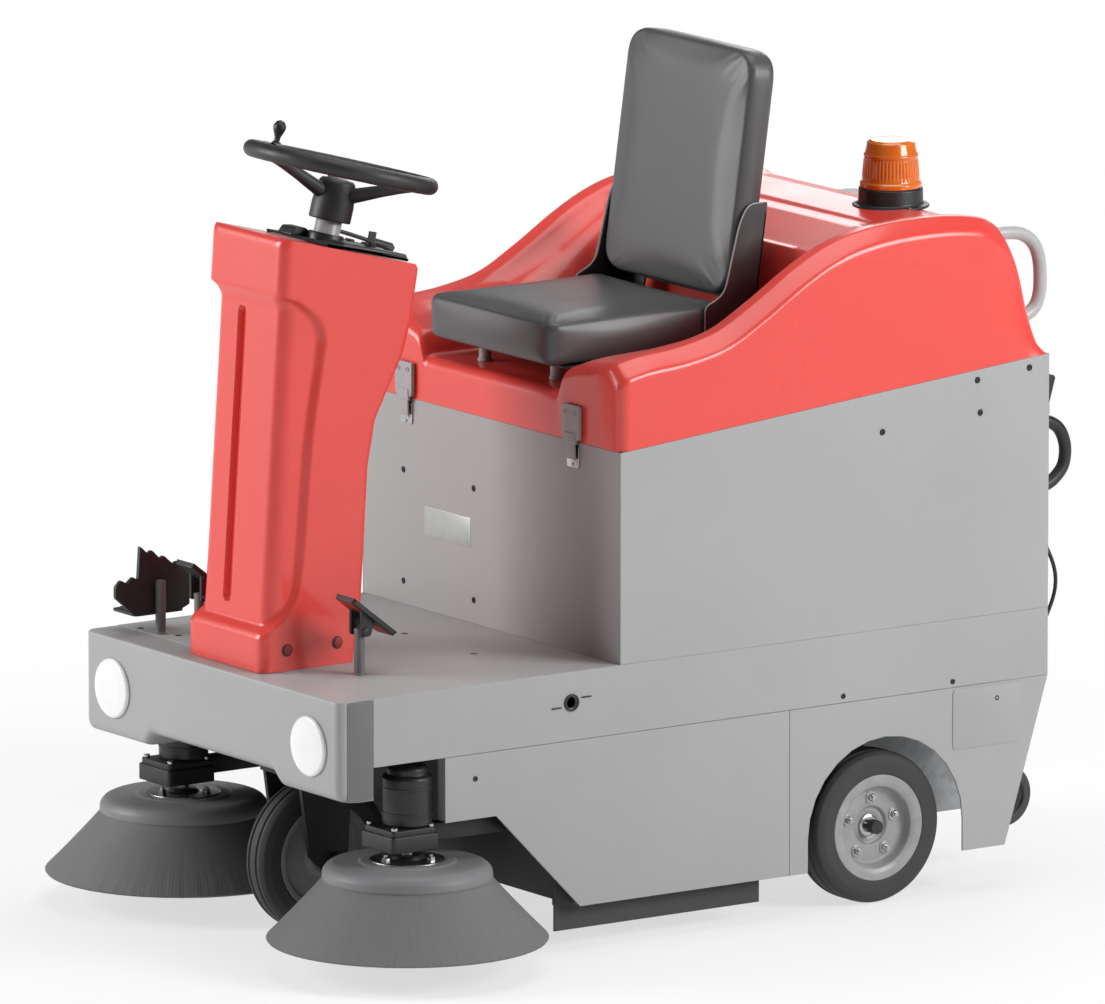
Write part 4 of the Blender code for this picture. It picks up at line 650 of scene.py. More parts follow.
# ---- panels ----------------------------------------------------------------------
@dataclass
class Panels:
    """Sheet panels and other pieces that keep their CAD shape, and the deck.

    Attributes:
        top: height of the deck.
        half: half the deck's width.
        posts: (x, distance, pin height, pin half length) of each pedal post.
        holes: (x, distance) of each fixing hole.
    """

    top: float = 0.474
    half: float = 0.3776
    posts: tuple = ((0.200, 0.163, 0.548, 0.018), (-0.150, 0.078, 0.560, 0.018),
                    (-0.2795, 0.086, 0.560, 0.007))
    holes: tuple = ((-0.335, 0.082), (-0.247, 0.100), (-0.045, 0.420), (0.162, 0.418))

    def build(self) -> None:
        """Gives every kept node its finish and makes the deck."""
        repaint(GREY_COAT, "body_front_panel", "body_rear_panel", *both("body_side"),
                *both("side_strip"), *both("front_skirt"), *both("rear_skirt"))
        repaint(BLACK_PAINT, "chassis_frame", "broom_housing", "front_fork", "hood_hinge")
        repaint(BLACK_MOULDED, "battery_pack", "filter_fan", "key_switch")
        repaint(STRIP_RUBBER, *both("side_flap"))
        repaint(GALVANISED, "dust_hopper")
        self.deck()

    def deck(self) -> None:
        """Makes the deck, its slim pedal posts in the shaded copy of the coat, and black discs as painted
        shade in its fixing holes.
        """
        top, half = self.top, self.half
        deck = slab("deck", oblong(-half, 0.0684, half, 1.4385),
                    top - 0.003, top, "top", 0.0006)
        pieces = []
        for x, distance, height, reach in self.posts:
            pieces.append(lathe("post", [(0.0, -0.002), (0.0115, -0.002), (0.0115, 0.0015),
                                         (0.0088, 0.003), (0.0088, height - top + 0.004),
                                         (0.0, height - top + 0.006)],
                                (x, at(distance), top), UP, 32, 0.0012))
            pieces.append(lathe("pin", plug(0.0038, -reach, reach),
                                (x, at(distance), height), LEFT, 20))
        dress(deck, GREY_COAT, "chassis", "deck_plate")
        # the posts take the shaded copy of the grey coat: painted shade
        dress(join("pedal_posts", pieces), SHADED_COAT, "chassis")
        # black discs for the fixing holes: painted shade of the dark below the deck
        rims = [lathe("rim", plug(0.0062, 0.0, 0.0004, 0.0001),
                      (x, at(distance), top), UP, 24, 0.0002)
                for x, distance in self.holes]
        dress(join("deck_hole_shade_discs", rims), BLACK_MOULDED, "chassis")


# ---- hood ------------------------------------------------------------------------
@dataclass
class Hood:
    """The red hinged hood: crest line down each side, seat well between, plateau behind.

    Attributes:
        half: half the width at the seam.
        front: distance of the front edge.
        seam_end: distance where the seam ends behind.
        seam_front: height of the seam at the front edge.
        seam_rear: its height at its rear end.
        crest: (distance, height) along the top edge of a side.
    """

    half: float = 0.381
    front: float = 0.563
    seam_end: float = 1.442
    seam_front: float = 0.8312
    seam_rear: float = 0.9092
    crest: tuple = ((0.563, 0.972), (0.620, 0.984), (0.700, 0.992), (0.780, 1.010),
                    (0.853, 1.048), (0.935, 1.098), (1.000, 1.130), (1.060, 1.148),
                    (1.140, 1.158), (1.240, 1.159), (1.315, 1.150), (1.352, 1.135),
                    (1.372, 1.118), (1.392, 1.080), (1.410, 1.010), (1.4385, 0.917))

    def build(self) -> None:
        """Makes the shell, its hinge lugs and dresses them."""
        shell = self.shell()
        lugs = [box_piece("lug", (side * 0.1465, 1.432, 0.910), (side * 0.1735, 1.4455, 0.934))
                for _, side in SIDES]
        dress(join("hood_moulding", [shell, *lugs]), RED_MOULDED, "hood", "hood_shell")

    def seam(self, distance: Amount) -> Amount:
        """Height of the seam above the side panel at a distance."""
        share = (distance - self.front) / (self.seam_end - self.front)
        return self.seam_front + share * (self.seam_rear - self.seam_front)

    def shell(self) -> bpy.types.Object:
        """The moulding: stations along the crest, each a profile across.

        A station's profile runs from the seam up the leaning side, over the
        rounded shoulder and the rolled rim, down into the seat well (or
        across the plateau behind it) to the centre plane, and is mirrored.
        """
        curve = spline(self.crest, 230)
        crest_d, crest_z = curve[:, 0], curve[:, 1]
        # the front corner is rounded by drawing the first stations in
        nose = 0.020
        front_d = self.front + nose * (1 - np.cos(np.linspace(0.0, math.pi / 2, 9)))
        station_d = np.concatenate([front_d, crest_d[crest_d > self.front + nose + 0.002]])
        top = np.interp(station_d, crest_d, crest_z)
        inset = np.zeros_like(station_d)
        near = station_d < self.front + nose
        fall = np.clip((self.front + nose - station_d) / nose, 0.0, 1.0)
        inset[near] = nose * (1 - np.sqrt(np.clip(1 - fall[near] ** 2, 0, 1)))
        d, t = station_d, top - inset
        seam = self.seam(d)
        rear = smoothstep(1.30, 1.40, d)
        height = np.maximum(t - seam, 0.004)
        lean = 0.022 * rear + inset
        behind = smoothstep(0.985, 1.032, d)                 # 0 in the well, 1 on the plateau
        plateau = np.interp(d, [0.98, 1.03, 1.06, 1.16, 1.30, 1.345, 1.40, 1.4385],
                            [1.100, 1.104, 1.110, 1.131, 1.137, 1.130, 1.06, 0.914])
        plateau = np.minimum(plateau, t - 0.003)
        rim = np.interp(d, [0.563, 0.62, 0.70, 0.80, 0.90, 1.0],
                        [0.966, 0.972, 0.975, 0.985, 1.030, 1.095])
        rim = np.minimum(rim, t - 0.010)
        well = np.full_like(d, 0.908) - inset
        zero = np.zeros_like(d)

        def mix(low: Amount, high: Amount) -> Amount:
            """Blends the well's value into the plateau's."""
            return low * (1 - behind) + high * behind

        drop = np.minimum(0.024, 0.5 * height)
        side = self.half + zero
        flat = 0.21                                          # half width of the plateau's flat middle
        dip = 0.0035 * smoothstep(1.036, 1.046, d) * (1 - smoothstep(1.190, 1.205, d))
        points = np.stack([
            np.stack([side - inset, seam], -1),
            np.stack([side - lean, t - drop], -1),
            np.stack([side - lean - 0.030, t], -1),
            np.stack([0.322 - lean * 0.6, t - 0.0015], -1),
            np.stack([mix(0.300, 0.302),
                      mix(rim + 0.4 * (t - rim), plateau + 0.25 * (t - plateau))], -1),
            np.stack([mix(0.262, 0.288), mix(rim, plateau)], -1),
            np.stack([mix(0.212, flat + 0.004), mix(0.948 - inset, plateau)], -1),
            np.stack([mix(0.204, flat), mix(0.930 - inset, plateau - dip)], -1),
            np.stack([mix(0.196, 0.18), mix(well, plateau - dip)], -1),
            np.stack([zero, mix(well, plateau - dip)], -1),
        ], axis=1)
        reach = np.stack([zero, mix(0.007, 0.009) + 0.03 * rear, 0.006 + zero,
                          0.010 + zero, 0.02 + zero, mix(0.03, 0.02),
                          mix(0.012, 0.003), mix(0.010, 0.003),
                          0.008 + zero, zero], axis=1)
        half = fillet(points, reach, 4, [7, 1, 1, 1, 1, 3, 1, 1, 6, 0])
        whole = np.concatenate([half, half[:, ::-1][:, 1:] * np.array([-1.0, 1.0])], axis=1)
        distance = np.broadcast_to(d[:, None], whole.shape[:2])
        grid = np.stack([whole[..., 0], at(distance), whole[..., 1]], -1)
        shell = surface("shell", grid, sharp=38.0)
        self.close_front(shell, grid[0])
        tidy(shell, 38.0)
        return shell

    @staticmethod
    def close_front(shell: bpy.types.Object, ring: np.ndarray) -> None:
        """Closes the front with strips from the profile down to the seam's edge."""
        low = ring.copy()
        low[:, 2] = ring[0, 2]
        work = bmesh.new()
        work.from_mesh(shell.data)
        upper = [work.verts.new(p) for p in ring]
        lower = [work.verts.new(p) for p in low]
        for i in range(len(ring) - 1):
            work.faces.new((upper[i], upper[i + 1], lower[i + 1], lower[i]))
        work.to_mesh(shell.data)
        work.free()


# ---- column ----------------------------------------------------------------------
@dataclass
class Column:
    """The red steering column cover: plinth, tapered pillar and projecting head.

    Attributes:
        half: half the width.
        levels: front distance, front height, rear distance, rear height and corner radius.
        widen: factor on the width of the right half.
        sockets: (distance, height) of the plinth's two sockets.
        groove: x, lower end, upper end, half width and depth of the front groove.
    """

    half: float = 0.108
    levels: tuple = (
        (0.030, 0.4744, 0.216, 0.4744, 0.018), (0.030, 0.532, 0.2260, 0.536, 0.018),
        (0.035, 0.541, 0.2290, 0.545, 0.020), (0.047, 0.549, 0.2310, 0.553, 0.026),
        (0.050, 0.600, 0.2350, 0.610, 0.030), (0.0636, 0.800, 0.247, 0.800, 0.030),
        (0.069, 0.878, 0.262, 0.878, 0.030), (0.0768, 0.990, 0.317, 0.982, 0.030),
        (0.082, 1.068, 0.335, 1.040, 0.029), (0.083, 1.080, 0.336, 1.048, 0.028),
        (0.078, 1.090, 0.3370, 1.055, 0.025), (0.0705, 1.102, 0.338, 1.063, 0.024),
        (0.0765, 1.187, 0.348, 1.118, 0.024), (0.0785, 1.193, 0.3485, 1.124, 0.023),
        (0.084, 1.198, 0.344, 1.1305, 0.020))
    widen: float = 1.07
    sockets: tuple = ((0.081, 0.509), (0.181, 0.511))
    groove: tuple = (-0.022, 0.586, 1.058, 0.0085, 0.010)

    def build(self) -> None:
        """Makes the cover and, in its plinth, painted shade of two recesses: a black rim round a dark red
        cap set off-centre.
        """
        cover = self.cover()
        dress(cover, RED_MOULDED, "chassis", "column_cover")
        for name, side in SIDES:
            wall = side * self.half * (1.0 if side > 0 else self.widen)
            # painted shade of each recess: a black rim and a dark red cap shifted back off-centre
            rims = [lathe("rim", plug(0.0110, -0.004, 0.0004, 0.0002),
                          (wall, at(d), z), (side, 0, 0), 36, 0.0003) for d, z in self.sockets]
            caps = [lathe("cap", plug(0.0088, -0.003, 0.0014, 0.0008),
                          (wall, at(d + 0.0018), z), (side, 0, 0), 36, 0.0006) for d, z in self.sockets]
            dress(join("plinth_recess_shade_rims_" + name, rims), BLACK_MOULDED, "chassis")
            dress(join("plinth_recess_shade_caps_" + name, caps), RED_INSERT_AND_RECESS_SHADE, "chassis")

    def cover(self) -> bpy.types.Object:
        """The moulding: rings round the column between front and rear silhouettes.

        Each ring is a rounded rectangle from (front, height) to (rear, height);
        the flank's step and the front groove are smooth offsets of its points.
        """
        levels = np.asarray(self.levels, float)
        fine = even(fillet(levels, 0.004, 3, 1), 210)
        front_d, front_z, rear_d, rear_z, corner = fine.T
        rings = []
        for fd, rd, r in zip(front_d, rear_d, corner):
            outline = fillet(oblong(-self.half, fd, self.half, rd),
                             [r, r, 0.012, 0.012], 8, [100, 56, 20, 56], True)
            rings.append(outline)
        flat = np.stack(rings)
        x, d = flat[..., 0], flat[..., 1]
        share = (d - front_d[:, None]) / (rear_d - front_d)[:, None]
        z = front_z[:, None] + share * (rear_z - front_z)[:, None]
        # flank recess: in front of this curve the side steps in
        bend = spline([(0.530, -0.060), (0.541, 0.030), (0.580, 0.088), (0.645, 0.107), (0.859, 0.128),
                       (0.990, 0.150), (1.040, 0.152), (1.080, 0.118), (1.100, 0.070), (1.112, -0.060)],
                      160)
        edge = np.interp(z, bend[:, 0], bend[:, 1])
        ahead = 1.0 - np.clip((d - edge) / 0.013 + 0.5, 0.0, 1.0)
        x = x - np.sign(x) * 0.011 * ahead * smoothstep(0.060, 0.104, np.abs(x))
        # front groove, right of the middle, with round ends
        on_front = 1.0 - smoothstep(0.0, 0.03, d - front_d[:, None])
        middle, low, high, wide, deep = self.groove
        past = np.maximum(np.maximum(low - z, z - high), 0.0)
        groove = 1.0 - np.clip((np.hypot(x - middle, past) - wide) / 0.0022, 0.0, 1.0)
        d = d + deep * groove * on_front
        x = np.where(x < 0, x * self.widen, x)
        grid = np.stack([x, at(d), z], -1)
        return surface("column_moulding", grid, wrap=True, caps=True, sharp=42.0)


# ---- bumper ----------------------------------------------------------------------
@dataclass
class Bumper:
    """The folded steel bumper with two lamps.

    Attributes:
        half: half the width.
        top: height of the upper rim.
        bottom: height of the lower rim at the sides.
        notch: height of the lower rim between the brushes.
        depth: front to back.
        bend: radius of the lower front fold.
        end_bend: radius of the upright folds at the ends.
        lamp: (x, height) of a lamp.
    """

    half: float = 0.3805
    top: float = 0.4735
    bottom: float = 0.303
    notch: float = 0.324
    depth: float = 0.068
    bend: float = 0.025
    end_bend: float = 0.016
    lamp: tuple = (0.294, 0.388)

    def build(self) -> None:
        """Sweeps the section across, closes its ends with plates darkened as painted shade and sets the
        lamps.
        """
        cuts = np.concatenate([np.linspace(-1, -0.93, 14), np.linspace(-0.92, 0.92, 160),
                               np.linspace(0.93, 1, 14)]) * self.half
        low = self.bottom + (self.notch - self.bottom) * (1 - smoothstep(0.176, 0.208, np.abs(cuts)))
        away = np.clip((np.abs(cuts) - (self.half - self.end_bend)) / self.end_bend, 0.0, 1.0)
        pull = self.end_bend * (1 - np.sqrt(1 - away ** 2 * 0.995))
        zero = np.zeros_like(low)
        back, top = zero + self.depth, zero + self.top
        section = np.stack([np.stack(pair, -1) for pair in (
            (back, low), (pull, low), (pull, top), (back, top))], axis=1)
        reach = np.stack([zero, zero + self.bend, zero + 0.005, zero], axis=1)
        line = fillet(section, reach, 8, [2, 6, 2, 0])
        grid = np.stack([np.broadcast_to(cuts[:, None], line.shape[:2]), at(line[..., 0]),
                         line[..., 1]], -1)
        body = surface("bumper_fold", grid, caps=True, sharp=40.0)
        dress(body, GREY_COAT, "chassis", "front_bumper")
        # end plates in the shaded copy of the grey coat: painted shade, as the ends are one bent piece
        # with the face
        end = rounded(oblong(self.end_bend, self.bottom + 0.001, self.depth, self.top - 0.001), 0.006)
        caps = [slab("cap", end, side * (self.half - 0.001), side * (self.half + 0.0007), "side",
                     0.0005) for _, side in SIDES]
        dress(join("bumper_shaded_ends", caps), SHADED_COAT, "chassis")
        for name, side in SIDES:
            lamp = lathe("lamp_" + name, [(0.0, 0.0), (0.0505, 0.0), (0.0505, 0.0035), (0.0470, 0.0065),
                                          (0.030, 0.0085), (0.0, 0.0090)],
                         (side * self.lamp[0], at(0.0), self.lamp[1]), AHEAD, 96, 0.0012)
            dress(lamp, OPAL_LENS, "chassis", "headlamp_" + name)


# ---- seat ------------------------------------------------------------------------
def turned_by(piece: bpy.types.Object, place: Triple, degrees: float = 0.0) -> bpy.types.Object:
    """Turns a mesh about the X axis through the origin and moves it to (x, distance, z)."""
    angle = math.radians(degrees)
    cos, sin = math.cos(angle), math.sin(angle)
    turn = ((1, 0, 0), (0, cos, -sin), (0, sin, cos))
    points = np.zeros(len(piece.data.vertices) * 3)
    piece.data.vertices.foreach_get("co", points)
    points = points.reshape(-1, 3) @ np.array(turn).T + np.array([place[0], at(place[1]), place[2]])
    piece.data.vertices.foreach_set("co", points.ravel())
    piece.data.update()
    return piece


def local_box(name: str, low: Triple, high: Triple, edge: float = 0.002, corner: float = 0.004,
              plane: str = "top") -> bpy.types.Object:
    """A block about the origin, ready to be turned and moved."""
    shift = (0.0, BUMPER_FACE, 0.0)
    return box_piece(name, np.add(low, shift), np.add(high, shift), edge, corner, plane)


@dataclass
class Cushion:
    """A stuffed vinyl pad: sharp-cornered box, blown up between its welts by a cloth run.

    Attributes:
        name: the piece's name.
        size: across, along and through the pad.
        corner: corner radius of its outline.
        edge: radius along the face's rim.
        voxel: mesh size of the cloth.
        pressure: the cloth run's inner pressure.
        cap: how far a point may move.
    """

    name: str
    size: tuple
    corner: float
    edge: float = 0.014
    voxel: float = 0.005
    pressure: float = 4.0
    cap: float = 0.007

    def outline_distance(self, points: np.ndarray) -> np.ndarray:
        """Signed distance to the rounded outline, below 0 inside."""
        q = np.abs(points[:, :2]) - np.array(self.size[:2]) / 2 + self.corner
        return (np.linalg.norm(np.maximum(q, 0), axis=1)
                + np.minimum(q.max(axis=1), 0.0) - self.corner)

    def build(self) -> bpy.types.Object:
        """Makes the pad, face up at z = thickness, middle at the origin."""
        wide, long, thick = self.size
        outline = rounded(oblong(-wide / 2, -long / 2, wide / 2, long / 2), self.corner, 10, 12)
        pad = slab(self.name, outline + np.array([0.0, BUMPER_FACE]), 0.0, thick, "top", self.edge, 6)
        remesh = pad.modifiers.new("voxels", 'REMESH')
        remesh.mode, remesh.voxel_size = 'VOXEL', self.voxel
        self.apply(pad)
        count = len(pad.data.vertices)
        points = np.zeros(count * 3)
        pad.data.vertices.foreach_get("co", points)
        points = points.reshape(-1, 3)
        inside = -self.outline_distance(points)
        drop = thick - points[:, 2]
        welt = (np.abs(inside - drop) < 0.55 * self.voxel) & (drop < self.edge) & (inside < self.edge)
        base = points[:, 2] < 0.3 * self.edge
        group = pad.vertex_groups.new(name="held")
        group.add(np.flatnonzero(welt | base).tolist(), 1.0, 'REPLACE')
        self.blow_up(pad, points)
        subdivide = pad.modifiers.new("smooth", 'SUBSURF')
        subdivide.levels = subdivide.render_levels = 1
        self.apply(pad)
        pad.vertex_groups.clear()
        pad.data.shade_smooth()
        return pad

    def blow_up(self, pad: bpy.types.Object, points: np.ndarray) -> None:
        """Runs the cloth for 20 frames and keeps its shape, each point's way capped."""
        cloth = pad.modifiers.new("cloth", 'CLOTH')
        settings = cloth.settings
        settings.quality, settings.mass = 5, 0.3
        settings.use_pressure, settings.uniform_pressure_force = True, self.pressure
        settings.tension_stiffness = settings.compression_stiffness = 14.0
        settings.shear_stiffness, settings.bending_stiffness = 8.0, 0.6
        settings.vertex_group_mass = "held"
        settings.effector_weights.gravity = 0.0
        cloth.point_cache.frame_start, cloth.point_cache.frame_end = 1, 20
        scene = bpy.context.scene
        for frame in range(1, 21):
            scene.frame_set(frame)
        shaped = pad.evaluated_get(bpy.context.evaluated_depsgraph_get()).to_mesh()
        after = np.zeros(len(shaped.vertices) * 3)
        shaped.vertices.foreach_get("co", after)
        way = after.reshape(-1, 3) - points
        length = np.linalg.norm(way, axis=1, keepdims=True)
        way *= self.cap * np.tanh(length / self.cap) / np.maximum(length, 1e-9)
        pad.modifiers.remove(cloth)
        pad.data.vertices.foreach_set("co", (points + way).ravel())
        scene.frame_set(1)

    @staticmethod
    def apply(pad: bpy.types.Object) -> None:
        """Puts the modifiers into the mesh."""
        mesh = bpy.data.meshes.new_from_object(pad.evaluated_get(
            bpy.context.evaluated_depsgraph_get()))
        pad.modifiers.clear()
        pad.data = mesh


@dataclass
class Seat:
    """Seat cushion, back cushion and their bent steel bracket.

    Attributes:
        half: half the cushion's width.
        tilt: lean of the back in degrees.
        foot: (distance, height) of the back cushion's lower front edge.
        pan: height of the pan's upper face.
        seat_size: across, along and through the seat cushion.
        back_size: across, along and through the back cushion.
    """

    half: float = 0.183
    tilt: float = 8.0
    foot: tuple = (0.908, 1.028)
    pan: float = 0.9443
    seat_size: tuple = (0.365, 0.358, 0.0760)
    back_size: tuple = (0.366, 0.414, 0.0575)

    def build(self) -> None:
        """Makes the pads and the bracket."""
        base = Cushion("seat_pad", self.seat_size, 0.030, 0.015).build()
        dress(turned_by(base, (0.0, 0.7355, 0.9447)), SEAT_VINYL, "hood", "seat_cushion")
        back = Cushion("back_pad", self.back_size, 0.052, 0.015).build()
        turned_by(back, (0.0, BUMPER_FACE, 0.0), 90.0)
        turned_by(back, (0.0, BUMPER_FACE + 0.0618, 0.2085))
        dress(turned_by(back, (0.0, *self.foot), -self.tilt), SEAT_VINYL, "hood", "back_cushion")
        self.bracket()

    def bracket(self) -> None:
        """Pan, leaning back plate with its slit, side wings, bright rims along the wings' front edges as
        painted highlight, and feet.
        """
        out = self.half + 0.0075
        wing = fillet([(0.868, self.pan - 0.005), (0.868, 1.017), (0.908, 1.034), (0.938, 1.150),
                       (0.956, 1.1835), (0.9962, 1.1835), (0.9630, self.pan - 0.005)],
                      [0, 0.012, 0.032, 0.05, 0.016, 0.004, 0], 7, 3)
        pieces = [box_piece("pan", (-out, 0.590, self.pan - 0.005), (out, 0.990, self.pan),
                            0.0015, 0.02)]
        for low, high in (((-out, -0.087), (out, -0.050)), ((-out, -0.008), (out, 0.150)),
                          ((-out, -0.052), (-0.130, -0.006)), ((0.130, -0.052), (out, -0.006))):
            plate = local_box("plate", (low[0], 0.0625, low[1]), (high[0], 0.0662, high[1]),
                              0.0005, 0.002, "front")
            pieces.append(turned_by(plate, (0.0, *self.foot), -self.tilt))
        rims = []
        for _, side in SIDES:
            pieces.append(slab("wing", wing, side * (self.half + 0.003), side * out, "side", 0.0009))
            # a thin bright bar along each wing's front edge: painted highlight
            front = wing[1:np.argmax(wing[:, 0] > 0.990)]
            path = np.stack([np.full(len(front), side * (out - 0.0006)), at(front[:, 0]),
                             front[:, 1]], 1)
            rims.append(tube("rim", path, 0.0013, LEFT, 8))
            for distance in (0.625, 0.880):
                rims.append(lathe("foot", [(0.0, 0.0), (0.0125, 0.0), (0.0125, 0.004), (0.0105, 0.006),
                                           (0.0105, 0.031), (0.0, 0.031)],
                                  (side * 0.105, at(distance), 0.9083), UP, 28, 0.0006))
        dress(join("seat_bracket_steel", pieces), BLACK_PAINT, "hood", "seat_bracket")
        dress(join("bracket_feet_and_edge_highlight", rims), DULL_ZINC, "hood")


# ---- steering --------------------------------------------------------------------
@dataclass
class Steering:
    """Steering wheel, its knob, the column tube, the console's parts and the lift lever.

    Attributes:
        centre: (distance, height) of the ring's middle.
        tilt: lean of the axis in degrees.
        ring: radius of the ring.
        bar: radius of its section.
        knob: distance of the spinner knob from the axis.
        hub: radius of the hub.
        spokes: directions of the spokes in degrees.
        knob_angle: direction of the knob in degrees.
    """

    centre: tuple = (0.263, 1.287)
    tilt: float = 15.0
    ring: float = 0.1510
    bar: float = 0.0142
    knob: float = 0.1415
    hub: float = 0.0355
    spokes: tuple = (30, 150, 270)
    knob_angle: float = 198.0

    def set_up(self, piece: bpy.types.Object) -> bpy.types.Object:
        """Puts a piece drawn about the origin with the axis along Z into place."""
        return turned_by(piece, (0.0, *self.centre), -self.tilt)

    def build(self) -> None:
        """Makes the pieces on their bodies."""
        turn = np.arange(128) * 2 * math.pi / 128
        section = np.arange(28) * 2 * math.pi / 28
        grip = self.bar * (1.0 + 0.008 * np.cos(turn * 28))[:, None]
        flat = self.ring + grip * np.cos(section)[None, :]
        ring = surface("ring", np.stack([flat * np.cos(turn)[:, None], flat * np.sin(turn)[:, None],
                                         grip * np.sin(section)[None, :]], -1), True, True)
        hub = lathe("hub", [(0.0, -0.020), (0.026, -0.020), (0.031, -0.026), (self.hub - 0.002, -0.045),
                            (self.hub, -0.062), (self.hub, -0.090), (0.0, -0.090)],
                    (0, 0, 0), UP, 64, 0.003)
        pieces = [ring, hub]
        for degrees in self.spokes:
            angle = math.radians(degrees)
            away = np.array([0.018, 0.050, 0.090, 0.120, self.ring])
            path = np.stack([away * math.cos(angle), away * math.sin(angle),
                             [-0.048, -0.036, -0.021, -0.010, -0.001]], 1)
            spoke = tube("spoke", path, np.interp(np.linspace(0, 1, 20), [0, 0.5, 1],
                                                  [0.0135, 0.0100, 0.0095]),
                         (-math.sin(angle), math.cos(angle), 0), 20, 20)
            pieces.append(spoke)
        wheel = self.set_up(join("steering_ring", pieces))
        dress(wheel, RING_FOAM, "steering", "steering_wheel")
        cap = self.set_up(lathe("horn_cap",
                                [(0.0, -0.0165), (0.014, -0.0175), (0.022, -0.0205), (0.0, -0.0205)],
                                (0, 0, 0), UP, 48))
        shaft = self.set_up(lathe("shaft", plug(0.012, -0.088, -0.160), (0, 0, 0), UP, 32))
        dress(cap, BLACK_MOULDED, "steering")
        dress(shaft, ZINC_STEEL, "steering")
        angle = math.radians(self.knob_angle)
        knob = lathe("knob", [(0.0, 0.0395), (0.0065, 0.037), (0.0108, 0.030), (0.0105, 0.0235),
                              (0.0065, 0.014), (0.005, 0.010), (0.005, 0.003), (0.008, 0.002),
                              (0.008, 0.0), (0.0, 0.0)],
                     (self.knob * math.cos(angle), self.knob * math.sin(angle), self.bar + 0.0002),
                     UP, 32, 0.0012)
        dress(self.set_up(knob), BLACK_MOULDED, "spinner", "spinner_knob")
        post = self.set_up(lathe("post", [(0.0122, -0.0906), (0.0215, -0.0906), (0.0220, -0.0915),
                                          (0.0220, -0.690), (0.0122, -0.690), (0.0122, -0.0906)],
                                 (0, 0, 0), UP, 40))
        collar = self.set_up(lathe("collar", [(0.0222, -0.112), (0.029, -0.112), (0.031, -0.116),
                                              (0.031, -0.132), (0.0222, -0.132), (0.0222, -0.112)],
                                   (0, 0, 0), UP, 40))
        foot = box_piece("foot", (-0.020, 0.068, 0.4743), (0.020, 0.112, 0.648), 0.001, 0.003)
        dress(join("column_tube", [post, foot]), TUBE_COAT, "chassis", "column_post")
        dress(collar, BLACK_MOULDED, "chassis")
        self.console()

    def console(self) -> None:
        """The console's top with its lamps and switches, and the lift lever with its grip."""
        def crest(distance: float, lift: float) -> tuple[float, float]:
            """A point above the cover's sloping top."""
            return distance, 1.1987 - (distance - 0.084) * 0.2585 + lift
        outline = rounded([crest(0.172, 0.0006), crest(0.178, 0.0050), crest(0.205, 0.0060),
                           crest(0.214, 0.0118), crest(0.334, 0.0118), crest(0.339, 0.0006)], 0.002, 3)
        low = slab("console_top", outline, -0.0900, 0.0900, "side", 0.004, 4)
        ear = box_piece("ear", (-0.0922, 0.280, 1.150), (-0.0845, 0.300, 1.1795), 0.001, 0.003)
        bezel = [lathe("bezel", [(0.0, 0.0), (0.0085, 0.0), (0.0085, 0.0035), (0.0065, 0.0050),
                                 (0.0, 0.0050)],
                       (bx, at(bd), crest(bd, 0.0112)[1]), (0.0, 0.25, 0.968), 28, 0.0008)
                 for bx, bd in ((-0.030, 0.300), (0.0, 0.312), (0.055, 0.320), (-0.058, 0.270))]
        bracket = slab("bracket",
                       rounded([crest(0.176, 0.004), crest(0.186, 0.018), crest(0.206, 0.021),
                                           crest(0.226, 0.010)], 0.003), -0.060, -0.020, "side", 0.001)
        dress(join("console_top", [low, ear, bracket, *bezel]), BLACK_MOULDED, "chassis",
              "console_panel")
        x, distance, height = -0.0965, 0.290, 1.1717
        boss = lathe("boss", plug(0.008, -0.004, 0.004),
                     (x, at(distance), height), LEFT, 24, 0.001)
        arm = tube("arm", [(x, at(distance), height), (x, at(distance + 0.06), height - 0.021),
                           (x, at(distance + 0.125), height - 0.046)], 0.0036, LEFT, 12, 16)
        grip = tube("grip", [(x, at(distance + 0.092), height - 0.0335),
                             (x, at(distance + 0.096), height - 0.0350),
                             (x, at(distance + 0.138), height - 0.0500),
                             (x, at(distance + 0.144), height - 0.0522)],
                    [0.0035, 0.0078, 0.0078, 0.003], LEFT, 20)
        dress(join("lift_hand_lever", [boss, arm, grip]), BLACK_MOULDED, "lever", "lift_lever")


